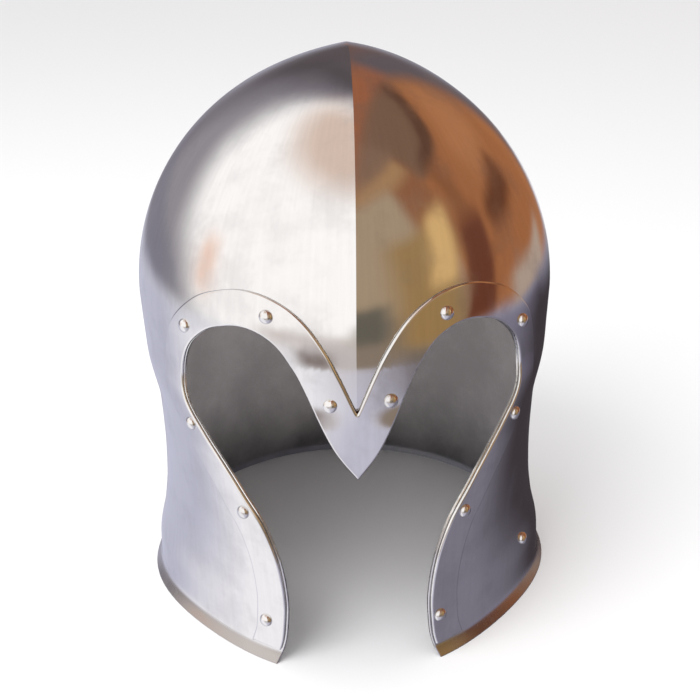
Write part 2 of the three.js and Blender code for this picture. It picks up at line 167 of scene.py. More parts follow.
@dataclass
class Bowl:
    """The outside of the skull: a ridged dome over a waisted wall with a turned-out rim."""

    half_width: float = 105 * MM
    front_depth: float = 126 * MM
    rear_depth: float = 123.5 * MM
    widest_level: float = 165 * MM
    dome_height: float = 116.7 * MM
    ridge_sharpness: float = 0.2
    cheek_flattening: float = 0.0625
    flange_height: float = 6 * MM
    flange_reach: float = 3.5 * MM
    flange_bend: float = 2 * MM
    ridge_lean: float = 3.9 * MM
    ridge_lean_width: float = 45 * MM
    ridge_lean_growth: float = 1.5
    angle_step: float = 0.05
    height_step: float = 0.05 * MM
    fit_columns: int = 721
    fit_rows: int = 600
    middle: float = 0.0
    _share: dict[str, Callable[[np.ndarray], np.ndarray]] = field(default_factory=dict)

    def __post_init__(self) -> None:
        """Fits the curves through the section table and lines the bowl up with the frame."""
        levels = [row.level for row in WALL_SECTIONS]
        for column in ("width", "front", "rear", "ridge", "flat"):
            values = [getattr(row, column) for row in WALL_SECTIONS]
            self._share[column] = table_curve(levels, values)
        low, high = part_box("skull")
        angles = np.linspace(-180.0, 180.0, self.fit_columns)
        heights = np.linspace(0.0, self.top_height, self.fit_rows)
        grid_angles, grid_heights = np.meshgrid(angles, heights)
        own = self.point(grid_angles.ravel(), grid_heights.ravel())[:, 1]
        self.middle = (low.y + high.y) / 2 - (own.min() + own.max()) / 2

    @property
    def top_height(self) -> float:
        """Height of the apex, measured along the dome."""
        return self.widest_level + self.dome_height * math.pi / 2

    @property
    def girth_per_degree(self) -> float:
        """Girth of the flat pattern for each degree round the bowl."""
        return (self.half_width + self.front_depth) / 2 * math.pi / 180

    @property
    def half_girth(self) -> float:
        """Girth of the flat pattern from the middle of the face to the middle of the nape."""
        return 180 * self.girth_per_degree

    def _pointed_oval(self, side: np.ndarray, forward: np.ndarray, half_width: np.ndarray,
                      depth: np.ndarray, ridge: np.ndarray) -> np.ndarray:
        """Distance from the middle of an oval that comes to a blunt point at the middle line."""
        a = (side / half_width) ** 2 + (1 + 2 * ridge) * (forward / depth) ** 2
        b = 2 * ridge * np.abs(side) / half_width
        return (np.sqrt(b * b + 4 * a * (1 + 2 * ridge)) - b) / (2 * a)

    def _flare(self, level: np.ndarray) -> np.ndarray:
        """How far the flange stands out beyond the wall at a level."""
        below = self.flange_height - level
        rounded = (below + np.hypot(below, self.flange_bend)) / 2
        foot = (self.flange_height + math.hypot(self.flange_height, self.flange_bend)) / 2
        return self.flange_reach * rounded / foot

    def _wall(self, angle: np.ndarray, level: np.ndarray) -> np.ndarray:
        """Points on the wall below the widest level."""
        share = level / self.widest_level
        side = np.sin(angle)
        forward = -np.cos(angle)
        in_front = forward < 0
        front = self.front_depth * self._share["front"](share)
        rear = self.rear_depth * self._share["rear"](share)
        depth = np.where(in_front, front, rear)
        width = self.half_width * self._share["width"](share)
        ridge = self.ridge_sharpness * self._share["ridge"](share)
        oval = self._pointed_oval(side, forward, width, depth, ridge)
        cheek = self.cheek_flattening * self._share["flat"](share) * np.sin(2 * angle) ** 2
        radius = oval * (1 - np.where(in_front, cheek, 0.0)) + self._flare(level)
        return np.stack([radius * side, radius * forward, level], axis=1)

    def _dome(self, angle: np.ndarray, height: np.ndarray) -> np.ndarray:
        """Points on the dome above the widest level."""
        lift = (height - self.widest_level) / self.dome_height
        side = np.sin(angle) * np.cos(lift)
        forward = -np.cos(angle) * np.cos(lift)
        up = np.sin(lift)
        reach = np.maximum(np.hypot(forward, up), TINY)
        depth = np.where(forward < 0, self.front_depth, self.rear_depth)
        profile = 1 / np.hypot(forward / reach / depth, up / reach / self.dome_height)
        ridge = np.full_like(angle, self.ridge_sharpness)
        width = np.full_like(angle, self.half_width)
        radius = self._pointed_oval(side, reach, width, profile, ridge)
        radius = radius + self._flare(np.full_like(angle, self.widest_level))
        return np.stack([radius * side, radius * forward, self.widest_level + radius * up], axis=1)

    def point(self, angle_degrees: np.ndarray, height: np.ndarray) -> np.ndarray:
        """Points on the outside of the skull.

        Args:
            angle_degrees: Angles round the bowl from the middle of the face.
            height: Heights along the sheet, 0 at the rim.

        Returns:
            One row of x, y and z for each pair.
        """
        angle = np.radians(angle_degrees)
        wall = self._wall(angle, np.minimum(height, self.widest_level))
        dome = self._dome(angle, np.maximum(height, self.widest_level))
        found = np.where((height < self.widest_level)[:, None], wall, dome)
        rise = np.maximum(found[:, 2] - self.widest_level, 0.0) / self.dome_height
        nearness = np.exp(-((found[:, 0] / self.ridge_lean_width) ** 2))
        found[:, 0] += self.ridge_lean * rise ** self.ridge_lean_growth * nearness
        found[:, 1] += self.middle
        return found

    def normal(self, angle_degrees: np.ndarray, height: np.ndarray) -> np.ndarray:
        """Unit normals of the outside of the skull, for the same pairs as point takes."""
        high = np.minimum(height + self.height_step, self.top_height)
        low = high - 2 * self.height_step
        level = np.minimum(height, self.top_height - 2 * self.height_step)
        around = (self.point(angle_degrees + self.angle_step, level)
                  - self.point(angle_degrees - self.angle_step, level))
        up = self.point(angle_degrees, high) - self.point(angle_degrees, low)
        normal = np.cross(around, up)
        normal /= np.maximum(np.linalg.norm(normal, axis=1), TINY * TINY)[:, None]
        normal[height > self.top_height - self.height_step] = (0.0, 0.0, 1.0)
        return normal

    def bend(self, pattern: np.ndarray, offset: float) -> np.ndarray:
        """Bends points of the flat pattern round the bowl.

        Args:
            pattern: Rows of girth, height and distance outwards.
            offset: Distance outwards that is added to the third column.

        Returns:
            One row of x, y and z for each point.
        """
        angle = pattern[:, 0] / self.girth_per_degree
        out = pattern[:, 2] + offset
        return self.point(angle, pattern[:, 1]) + self.normal(angle, pattern[:, 1]) * out[:, None]


@dataclass(frozen=True)
class EdgePoint:
    """Point of the opening's edge, as shares of the way across and along one stretch."""

    across: float
    along: float


@dataclass
class FaceOpening:
    """Right half of the edge of the face opening in the flat pattern, and what follows it."""

    bowl: Bowl
    nasal_tip_level: float = 112 * MM
    eye_top_level: float = 178.5 * MM
    eye_corner_level: float = 146 * MM
    slot_waist_level: float = 38.5 * MM
    brow_angle: float = 25.0
    eye_reach_angle: float = 44.2
    slot_waist_angle: float = 17.3
    slot_foot_angle: float = 21.2
    edge_step: float = 1 * MM
    step_start: float = 0.5
    step_end: float = 0.85
    samples_per_stretch: int = 200
    slope_step: float = 0.3 * MM
    search_steps: int = 4000

    FLANK = (EdgePoint(0.000, 0.000), EdgePoint(0.168, 0.193), EdgePoint(0.300, 0.414),
             EdgePoint(0.420, 0.641), EdgePoint(0.500, 0.767), EdgePoint(0.648, 0.911),
             EdgePoint(0.820, 0.981))
    EYE = (EdgePoint(0.000, 0.00), EdgePoint(0.245, 0.05), EdgePoint(0.500, 0.17),
           EdgePoint(0.854, 0.55), EdgePoint(1.000, 1.00))
    CHEEK = (EdgePoint(0.960, 0.115), EdgePoint(0.760, 0.240), EdgePoint(0.489, 0.385),
             EdgePoint(0.328, 0.490), EdgePoint(0.172, 0.605), EdgePoint(0.045, 0.785),
             EdgePoint(0.000, 1.000))
    FOOT = (EdgePoint(0.12, 0.34), EdgePoint(0.40, 0.68), EdgePoint(1.00, 1.00))

    def __post_init__(self) -> None:
        """Samples the edge densely and measures the way along it."""
        points = np.array(
            self._stretch(self.FLANK, (0.0, self.brow_angle),
                          (self.nasal_tip_level, self.eye_top_level))
            + self._stretch(self.EYE, (self.brow_angle, self.eye_reach_angle),
                            (self.eye_top_level, self.eye_corner_level))
            + self._stretch(self.CHEEK, (self.slot_waist_angle, self.eye_reach_angle),
                            (self.eye_corner_level, self.slot_waist_level))
            + self._stretch(self.FOOT, (self.slot_waist_angle, self.slot_foot_angle),
                            (self.slot_waist_level, 0.0)))
        self._line = self._rounded(points)
        steps = np.linalg.norm(np.diff(self._line, axis=0), axis=1)
        self._way = np.concatenate([[0.0], np.cumsum(steps)])
        self.length = float(self._way[-1])

    def _stretch(self, points: tuple[EdgePoint, ...], angles: Pair,
                 levels: Pair) -> list[Pair]:
        """Pattern points of one stretch between two named angles and two named levels."""
        per_degree = self.bowl.girth_per_degree
        return [(mix(*angles, p.across) * per_degree, mix(*levels, p.along)) for p in points]

    def _rounded(self, points: np.ndarray) -> np.ndarray:
        """Centripetal Catmull-Rom curve through the points, as a dense line."""
        before = 2 * points[0] - points[1]
        after = 2 * points[-1] - points[-2]
        padded = np.vstack([before, points, after])
        pieces = []
        t = np.linspace(0.0, 1.0, self.samples_per_stretch, endpoint=False)[:, None]
        for i in range(len(points) - 1):
            p0, p1, p2, p3 = padded[i:i + 4]
            d0, d1, d2 = (np.sqrt(np.linalg.norm(b - a)) for a, b in ((p0, p1), (p1, p2), (p2, p3)))
            m1 = ((p1 - p0) / d0 - (p2 - p0) / (d0 + d1) + (p2 - p1) / d1) * d1
            m2 = ((p2 - p1) / d1 - (p3 - p1) / (d1 + d2) + (p3 - p2) / d2) * d1
            pieces.append(p1 + m1 * t + (3 * (p2 - p1) - 2 * m1 - m2) * t ** 2
                          + (2 * (p1 - p2) + m1 + m2) * t ** 3)
        return np.vstack([*pieces, points[-1:]])

    def at(self, share: np.ndarray) -> np.ndarray:
        """Points of the edge at shares of its length from the nasal's tip."""
        way = np.asarray(share) * self.length
        return np.stack([np.interp(way, self._way, self._line[:, k]) for k in (0, 1)], axis=1)

    def inward(self, share: np.ndarray) -> np.ndarray:
        """Unit directions that lead from the edge back into the steel."""
        small = self.slope_step / self.length
        share = np.asarray(share, float)
        ahead = self.at(np.minimum(share + small, 1.0)) - self.at(np.maximum(share - small, 0.0))
        ahead /= np.linalg.norm(ahead, axis=1)[:, None]
        return np.stack([-ahead[:, 1], ahead[:, 0]], axis=1)

    def beside(self, share: np.ndarray, inset: np.ndarray) -> np.ndarray:
        """Points set back from the edge into the steel by a distance."""
        return self.at(share) + self.inward(share) * np.asarray(inset)[:, None]

    def band_step(self, share: np.ndarray) -> np.ndarray:
        """How far the band's edge stands back from the skull's."""
        share = np.asarray(share, float)
        return self.edge_step * smoothstep(share, self.step_start, self.step_end)

    def share_where(self, test: Callable[[np.ndarray], np.ndarray]) -> float:
        """The first share of the edge at which a test of shares turns true."""
        shares = np.linspace(0.0, 1.0, self.search_steps + 1)
        return float(shares[np.argmax(test(shares))])


def deselect_all() -> None:
    """Leaves nothing selected, in object mode."""
    if bpy.context.mode != "OBJECT":
        bpy.ops.object.mode_set(mode="OBJECT")
    bpy.ops.object.select_all(action="DESELECT")


def activate(piece: Piece) -> None:
    """Makes a piece the only selected one, and the active one."""
    deselect_all()
    piece.select_set(True)
    bpy.context.view_layer.objects.active = piece


@contextmanager
def editing(piece: Piece, kind: str = "FACE") -> Iterator[None]:
    """Edits a piece's mesh for as long as the block runs.

    Args:
        piece: The piece to edit.
        kind: What is selected: VERT, EDGE or FACE.
    """
    activate(piece)
    bpy.ops.object.mode_set(mode="EDIT")
    bpy.ops.mesh.select_mode(type=kind)
    yield
    bpy.ops.object.mode_set(mode="OBJECT")


def finish_with(piece: Piece, kind: str, **settings: object) -> None:
    """Adds a modifier with its settings and applies it.

    Args:
        piece: The piece that it changes.
        kind: The modifier's type.
        **settings: Its settings by name.
    """
    activate(piece)
    modifier = piece.modifiers.new(kind.lower(), kind)
    for name, value in settings.items():
        setattr(modifier, name, value)
    bpy.ops.object.modifier_apply(modifier=modifier.name)


def read(items: bpy.types.bpy_prop_collection, name: str, width: int = 1,
         kind: type = float) -> np.ndarray:
    """One number, or one row of numbers, for each item of a mesh."""
    found = np.zeros(len(items) * width, kind)
    items.foreach_get(name, found)
    return found.reshape(-1, width) if width > 1 else found


def coordinates(piece: Piece) -> np.ndarray:
    """The piece's vertices, one row of x, y and z each."""
    return read(piece.data.vertices, "co", 3)


def place(piece: Piece, points: np.ndarray) -> None:
    """Puts the piece's vertices at the given points."""
    piece.data.vertices.foreach_set("co", points.ravel())
    piece.data.update()


def select_faces(piece: Piece, test: FaceTest) -> bool:
    """Selects the faces whose centres and normals pass a test.

    Args:
        piece: The piece, in object mode.
        test: Takes rows of centres and rows of normals and returns which ones to select.

    Returns:
        Whether any face is selected.
    """
    mesh = piece.data
    wanted = test(read(mesh.polygons, "center", 3), read(mesh.polygons, "normal", 3))
    for items in (mesh.vertices, mesh.edges):
        items.foreach_set("select", np.zeros(len(items), bool))
    mesh.polygons.foreach_set("select", wanted)
    return bool(wanted.any())


def face_outwards(piece: Piece) -> None:
    """Turns all faces of a piece the same way, outwards where it is closed."""
    with editing(piece):
        bpy.ops.mesh.select_all(action="SELECT")
        bpy.ops.mesh.normals_make_consistent(inside=False)


def weld(piece: Piece) -> None:
    """Merges vertices that lie together and clears faces that closed up."""
    with editing(piece, "VERT"):
        bpy.ops.mesh.select_all(action="SELECT")
        bpy.ops.mesh.remove_doubles(threshold=WELD_DISTANCE)
        bpy.ops.mesh.select_all(action="SELECT")
        bpy.ops.mesh.dissolve_degenerate(threshold=WELD_DISTANCE / 10)


def extrude(down: float = 0.0) -> None:
    """Extrudes what is selected in edit mode, and moves it down."""
    bpy.ops.mesh.extrude_region_move(TRANSFORM_OT_translate={"value": (0, 0, -down)})


def direction(azimuth: float, elevation: float) -> Vector:
    """Unit vector at degrees round from the front and above the horizon."""
    a, e = math.radians(azimuth), math.radians(elevation)
    return Vector((math.sin(a) * math.cos(e), -math.cos(a) * math.cos(e), math.sin(e)))


def plain_material(name: str, color: Color, roughness: float) -> Material:
    """A material of one colour and one roughness."""
    material = bpy.data.materials.new(name)
    material.use_nodes = True
    shader = material.node_tree.nodes["Principled BSDF"]
    shader.inputs["Base Color"].default_value = (*color, 1.0)
    shader.inputs["Roughness"].default_value = roughness
    return material


class Graph:
    """Short way to build a node tree: nodes are added in order and linked by their inputs."""

    SPACING = 180

    def __init__(self, tree: bpy.types.NodeTree) -> None:
        """Works on an empty or existing node tree."""
        self.tree = tree
        self.column = 0

    def add(self, kind: str, inputs: dict[str | int, object] | None = None,
            **settings: object) -> bpy.types.Node:
        """Adds a node.

        Args:
            kind: The node's type.
            inputs: What each input is set to or linked from, by name or number.
            **settings: The node's own settings.

        Returns:
            The new node.
        """
        node = self.tree.nodes.new(kind)
        node.location = (self.column * self.SPACING, 0)
        self.column += 1
        for name, value in settings.items():
            setattr(node, name, value)
        for key, value in (inputs or {}).items():
            socket = node.inputs[key]
            if isinstance(value, Socket):
                self.tree.links.new(value, socket)
            elif isinstance(value, tuple) and len(value) == 3 and socket.type == "RGBA":
                socket.default_value = (*value, 1.0)
            else:
                socket.default_value = value
        return node

    def math(self, operation: str, first: object, second: object = 0.0, *,
             clamp: bool = False) -> Socket:
        """Adds a Math node and returns its output."""
        node = self.add("ShaderNodeMath", {0: first, 1: second}, operation=operation,
                        use_clamp=clamp)
        return node.outputs[0]

    def times(self, first: object, second: object) -> Socket:
        """Adds a Math node that multiplies and returns its output."""
        return self.math("MULTIPLY", first, second)

    def plus(self, first: object, second: object, factor: object) -> Socket:
        """First plus second times a factor."""
        return self.math("ADD", first, self.times(second, factor))

    def scaled(self, vector: object, factors: object) -> Socket:
        """Multiplies a vector or colour part by part and returns the output."""
        node = self.add("ShaderNodeVectorMath", {0: vector, 1: factors}, operation="MULTIPLY")
        return node.outputs[0]

    def ramp(self, value: object, low: float, high: float, start: float = 0.0,
             end: float = 1.0) -> Socket:
        """Maps a value smoothly from one range to another and returns the output."""
        node = self.add("ShaderNodeMapRange", {0: value, 1: low, 2: high, 3: start, 4: end},
                        interpolation_type="SMOOTHSTEP")
        return node.outputs[0]

    def blend(self, share: object, first: object, second: object) -> Socket:
        """Mixes two colours and returns the output."""
        node = self.add("ShaderNodeMix", {0: share, 6: first, 7: second}, data_type="RGBA")
        return node.outputs[2]

    def noise(self, vector: object, scale: float, detail: float, roughness: float) -> Socket:
        """Adds a noise texture and returns its value."""
        node = self.add("ShaderNodeTexNoise", {"Vector": vector, "Scale": scale, "Detail": detail,
                                               "Roughness": roughness})
        return node.outputs[0]

    def bump(self, height: object, strength: float, distance: float) -> Socket:
        """Adds a bump and returns its normal."""
        node = self.add("ShaderNodeBump", {"Height": height, "Strength": strength,
                                           "Distance": distance})
        return node.outputs["Normal"]

    def background(self, color: object, strength: float) -> Socket:
        """Adds an even background light and returns its output."""
        return self.add("ShaderNodeBackground", {"Color": color, "Strength": strength}).outputs[0]

    def either(self, share: object, first: Socket, second: Socket) -> Socket:
        """Mixes two shaders and returns the output."""
        return self.add("ShaderNodeMixShader", {0: share, 1: first, 2: second}).outputs[0]

    def surface(self, color: object, metallic: float, roughness: object, normal: Socket) -> None:
        """Ends a material with its surface shader."""
        shader = self.add("ShaderNodeBsdfPrincipled", {"Base Color": color, "Metallic": metallic,
                                                       "Roughness": roughness, "Normal": normal})
        self.add("ShaderNodeOutputMaterial", {"Surface": shader.outputs["BSDF"]})


def new_material(name: str) -> tuple[Material, Graph]:
    """Makes a material without nodes, and the graph to fill it with."""
    material = bpy.data.materials.new(name)
    material.use_nodes = True
    material.node_tree.nodes.clear()
    return material, Graph(material.node_tree)


class ShaderGroups:
    """The effects that more than one finish uses, each a node group built once.

    A noise is given by its scale, detail and roughness.
    """

    LINE_STRETCH = (1.0, 0.06, 1.0)
    FINE_LINES = (2600.0, 3.0, 0.6)
    BROAD_LINES = (420.0, 2.0, 0.5)
    SMUDGES = (38.0, 4.0, 0.62)
    SMUDGE_EDGE = (0.42, 0.7)
    DENTS = (26.0, 1.0, 0.4)
    FINE_HEIGHT = 0.004
    BROAD_HEIGHT = 0.01
    SCRATCHES = (1400.0, 2.0, 0.6)
    SCRATCH_ROUGHNESS = (0.22, 0.42)
    WORN_PATCHES = (120.0, 2.0, 0.5)
    WORN_SHADE = (0.78, 1.08)
    MIDDLE_OF_NOISE = (0.3, 0.7)

    def __init__(self) -> None:
        """Builds all groups."""
        self.polish = self._polish()
        self.edge = self._edge()

    @staticmethod
    def _group(name: str, inputs: dict[str, str],
               outputs: dict[str, str]) -> tuple[Graph, dict[str, Socket]]:
        """Starts a group with named sockets.

        Args:
            name: The group's name.
            inputs: Type of each input: Float, Vector or Color.
            outputs: Type of each output.

        Returns:
            A graph to build the group with, and the outputs of its input node by name.
        """
        tree = bpy.data.node_groups.new(name, "ShaderNodeTree")
        for side, sockets in (("INPUT", inputs), ("OUTPUT", outputs)):
            for label, kind in sockets.items():
                tree.interface.new_socket(label, in_out=side, socket_type=f"NodeSocket{kind}")
        graph = Graph(tree)
        start = graph.add("NodeGroupInput")
        return graph, {label: start.outputs[label] for label in inputs}

    def _polish(self) -> bpy.types.NodeTree:
        """Marks of polishing: fine lines round the bowl, soft smudges and a hammered unevenness."""
        graph, given = self._group(
            "polish_marks",
            {"Vector": "Vector", "Pattern": "Vector", "Gloss": "Float", "Smudge": "Float",
             "Lines": "Float", "Waviness": "Float"},
            {"Roughness": "Float", "Height": "Float", "Tone": "Float"})
        stretched = graph.scaled(given["Pattern"], self.LINE_STRETCH)
        fine = graph.noise(stretched, *self.FINE_LINES)
        broad = graph.noise(stretched, *self.BROAD_LINES)
        blot = graph.ramp(graph.noise(given["Vector"], *self.SMUDGES), *self.SMUDGE_EDGE)
        lines = graph.times(graph.math("SUBTRACT", fine, 0.5), given["Lines"])
        rough = graph.plus(given["Gloss"], blot, given["Smudge"])
        rough = graph.math("ADD", rough, lines, clamp=True)
        dents = graph.noise(given["Vector"], *self.DENTS)
        height = graph.times(dents, given["Waviness"])
        height = graph.plus(height, fine, self.FINE_HEIGHT)
        height = graph.plus(height, broad, self.BROAD_HEIGHT)
        tone = graph.plus(graph.times(broad, 0.5), blot, 0.5)
        graph.add("NodeGroupOutput", {"Roughness": rough, "Height": height, "Tone": tone})
        return graph.tree

    def _edge(self) -> bpy.types.NodeTree:
        """Filed edge: short scratches across it, a little brighter where it is worn."""
        graph, given = self._group("filed_edge", {"Vector": "Vector", "Color": "Color"},
                                   {"Color": "Color", "Roughness": "Float", "Height": "Float"})
        scratch = graph.noise(given["Vector"], *self.SCRATCHES)
        patch = graph.noise(given["Vector"], *self.WORN_PATCHES)
        shade = graph.ramp(patch, *self.MIDDLE_OF_NOISE, *self.WORN_SHADE)
        colour = graph.scaled(given["Color"], shade)
        rough = graph.ramp(scratch, *self.MIDDLE_OF_NOISE, *self.SCRATCH_ROUGHNESS)
        graph.add("NodeGroupOutput", {"Color": colour, "Roughness": rough, "Height": scratch})
        return graph.tree


@dataclass(frozen=True)
class PolishedSteel:
    """Outside of the sheets and rivets: bright steel with smudges and fine polishing lines.

    Below rim_level it is duller, and at spot_height on the middle line it has a scorched spot.
    Both are left out where they are 0.
    """

    name: str
    color: Color = (0.82, 0.81, 0.80)
    shade: Color = (0.66, 0.65, 0.65)
    gloss: float = 0.1
    smudge: float = 0.12
    lines: float = 0.06
    waviness: float = 1.0
    bump_distance: float = 0.25 * MM
    bump_strength: float = 0.35
    rim_level: float = 0.0
    rim_fade: Pair = (0.8, 1.2)
    rim_shade: Color = (0.47, 0.44, 0.42)
    rim_roughness: float = 0.14
    spot_height: float = 0.0
    spot_radius: float = 3.2 * MM
    spot_fade: Pair = (0.8, 1.3)
    spot_noise: Noise = (900.0, 2.0, 0.5)
    spot_color: Color = linear(84, 58, 44)
    spot_roughness: float = 0.3

    def build(self, groups: ShaderGroups) -> Material:
        """Makes the material.

        Args:
            groups: The shared node groups.

        Returns:
            The material.
        """
        material, graph = new_material(self.name)
        coords = graph.add("ShaderNodeTexCoord").outputs["Object"]
        pattern = graph.add("ShaderNodeUVMap", uv_map="pattern").outputs["UV"]
        marks = graph.add("ShaderNodeGroup", {
            "Vector": coords, "Pattern": pattern, "Gloss": self.gloss, "Smudge": self.smudge,
            "Lines": self.lines, "Waviness": self.waviness}, node_tree=groups.polish).outputs
        colour = graph.blend(marks["Tone"], self.color, self.shade)
        rough = marks["Roughness"]
        if self.rim_level:
            height = graph.add("ShaderNodeSeparateXYZ", {0: pattern}).outputs[1]
            low, high = (share * self.rim_level for share in self.rim_fade)
            rim = graph.ramp(height, low, high, 1.0, 0.0)
            colour = graph.blend(rim, colour, self.rim_shade)
            rough = graph.plus(rough, rim, self.rim_roughness)
        if self.spot_height:
            away = graph.add("ShaderNodeVectorMath", {0: pattern, 1: (0.0, self.spot_height, 0.0)},
                             operation="DISTANCE").outputs["Value"]
            away = graph.plus(away, graph.noise(coords, *self.spot_noise), self.spot_radius)
            low, high = (share * self.spot_radius for share in self.spot_fade)
            spot = graph.ramp(away, low, high, 1.0, 0.0)
            colour = graph.blend(spot, colour, self.spot_color)
            rough = graph.plus(rough, spot, self.spot_roughness)
        bump = graph.bump(marks["Height"], self.bump_strength, self.bump_distance)
        graph.surface(colour, 1.0, rough, bump)
        return material


@dataclass(frozen=True)
class DullSteel:
    """Inside of the sheets: steel left as it was rolled, grey and matt, with painted shade that
    darkens it towards the foot.
    """

    name: str
    light: Color = linear(244, 240, 240)
    dark: Color = linear(220, 216, 216)
    # Painted shade: the inside fades to the foot colour towards its bottom edge.
    foot: Color = linear(46, 46, 50)
    foot_level: float = -4 * MM
    unshaded_level: float = 76 * MM
    shade_edge_raggedness: float = 0.3
    metallic: float = 0.25
    roughness: Pair = (0.37, 0.55)
    stain_noise: Noise = (22.0, 5.0, 0.6)
    stain_share: float = 0.8
    stain_edge: Pair = (0.35, 0.65)
    grain_noise: Noise = (900.0, 3.0, 0.6)
    bump_strength: float = 0.3
    bump_distance: float = 0.15 * MM

    def build(self) -> Material:
        """Makes the material."""
        material, graph = new_material(self.name)
        coords = graph.add("ShaderNodeTexCoord").outputs["Object"]
        stain = graph.noise(coords, *self.stain_noise)
        grain = graph.noise(coords, *self.grain_noise)
        share = graph.times(stain, self.stain_share)
        share = graph.plus(share, grain, 1 - self.stain_share)
        colour = graph.blend(graph.ramp(share, *self.stain_edge), self.dark, self.light)
        # Painted shade: darker towards the foot, with a ragged edge from the stain noise.
        height = graph.add("ShaderNodeSeparateXYZ", {0: coords}).outputs[2]
        height = graph.plus(height, stain, self.shade_edge_raggedness * self.unshaded_level)
        clear = graph.ramp(height, self.foot_level, self.unshaded_level)
        colour = graph.blend(clear, self.foot, colour)
        rough = graph.ramp(stain, *ShaderGroups.MIDDLE_OF_NOISE, *self.roughness)
        bump = graph.bump(grain, self.bump_strength, self.bump_distance)
        graph.surface(colour, self.metallic, rough, bump)
        return material


@dataclass(frozen=True)
class FiledEdge:
    """Cut edges of the sheets: filed, and brighter and rougher than the faces."""

    name: str
    color: Color = (0.86, 0.85, 0.82)
    bump_strength: float = 0.4
    bump_distance: float = 0.05 * MM

    def build(self, groups: ShaderGroups) -> Material:
        """Makes the material with the shared node groups."""
        material, graph = new_material(self.name)
        coords = graph.add("ShaderNodeTexCoord").outputs["Object"]
        filed = graph.add("ShaderNodeGroup", {"Vector": coords, "Color": self.color},
                          node_tree=groups.edge).outputs
        bump = graph.bump(filed["Height"], self.bump_strength, self.bump_distance)
        graph.surface(filed["Color"], 1.0, filed["Roughness"], bump)
        return material


@dataclass
class Sheet:
    """A steel sheet that is made flat and then bent round the bowl."""

    bowl: Bowl
    opening: FaceOpening
    name: str
    node: str
    slot: str
    thickness: float
    offset: float
    outside_limit: float = 0.3
    inside_limit: float = -0.9
    level_limit: float = 0.9995
    smooth_angle: float = 30.0

    def new_grid(self, columns: int, rows: int) -> tuple[Piece, np.ndarray, np.ndarray, np.ndarray]:
        """Makes a flat grid under the sheet's name, 1 m long and wide.

        Args:
            columns: Number of faces along X.
            rows: Number of faces along Y.

        Returns:
            The piece, and the points, column and row of its vertices.
        """
        deselect_all()
        bpy.ops.mesh.primitive_grid_add(x_subdivisions=columns, y_subdivisions=rows, size=1.0)
        piece = bpy.context.active_object
        piece.name = piece.data.name = self.name
        points = coordinates(piece)
        column, row = (np.rint((points[:, k] + 0.5) * count).astype(int)
                       for k, count in enumerate((columns, rows)))
        return piece, points, column, row

    def finish(self, piece: Piece, materials: list[Material]) -> None:
        """Dresses the flat sheet, bends it round the bowl and hands it to the frame.

        Args:
            piece: The flat sheet.
            materials: One material for each kind in Face.
        """
        self._dress(piece, materials)
        self._bend(piece)
        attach(piece, BODY)
        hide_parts(self.node)
        log.info("%s: %d faces", piece.name, len(piece.data.polygons))

    def _dress(self, piece: Piece, materials: list[Material]) -> None:
        """Gives each face the material of its kind, by the way it points."""
        piece.data.materials.clear()
        for material in materials:
            piece.data.materials.append(material)
        mesh = piece.data
        up = read(mesh.polygons, "normal", 3)[:, 2]
        kinds = np.where(up > self.outside_limit, Face.OUTSIDE.value,
                         np.where(up < self.inside_limit, Face.INSIDE.value, Face.EDGE.value))
        mesh.polygons.foreach_set("material_index", kinds.astype(np.int32))
        level = mesh.attributes.new("level_face", "BOOLEAN", "FACE")
        level.data.foreach_set("value", up > self.level_limit)

    def _bend(self, piece: Piece) -> None:
        """Bends the flat sheet round the bowl, none of it below the floor, with true normals."""
        flat = coordinates(piece)
        mesh = piece.data
        corners = read(mesh.loops, "vertex_index", kind=np.int32)
        pattern = mesh.uv_layers.new(name="pattern")
        pattern.data.foreach_set("uv", flat[corners][:, :2].ravel())
        bent = self.bowl.bend(flat, self.offset)
        bent[:, 2] = np.maximum(bent[:, 2], 0.0)
        place(piece, bent)
        weld(piece)
        activate(piece)
        bpy.ops.object.shade_smooth_by_angle(angle=math.radians(self.smooth_angle))
        self._set_normals(piece)

    def _set_normals(self, piece: Piece) -> None:
        """Sets the outside's normals to the bowl's own, so that reflections run smoothly."""
        mesh = piece.data
        uv = read(mesh.uv_layers["pattern"].data, "uv", 2)
        level = read(mesh.attributes["level_face"].data, "value", kind=bool)
        totals = read(mesh.polygons, "loop_total", kind=np.int32)
        of_face = np.repeat(np.arange(len(totals)), totals)
        middle = np.bincount(of_face, uv[:, 0]) / totals
        angle = uv[:, 0] / self.bowl.girth_per_degree
        nudge = 2 * self.bowl.angle_step * np.sign(middle[of_face])
        near_ridge = np.abs(angle) < 2 * self.bowl.angle_step
        normals = self.bowl.normal(np.where(near_ridge, nudge, angle), uv[:, 1])
        normals[~level[of_face]] = 0.0
        mesh.normals_split_custom_set(normals.tolist())


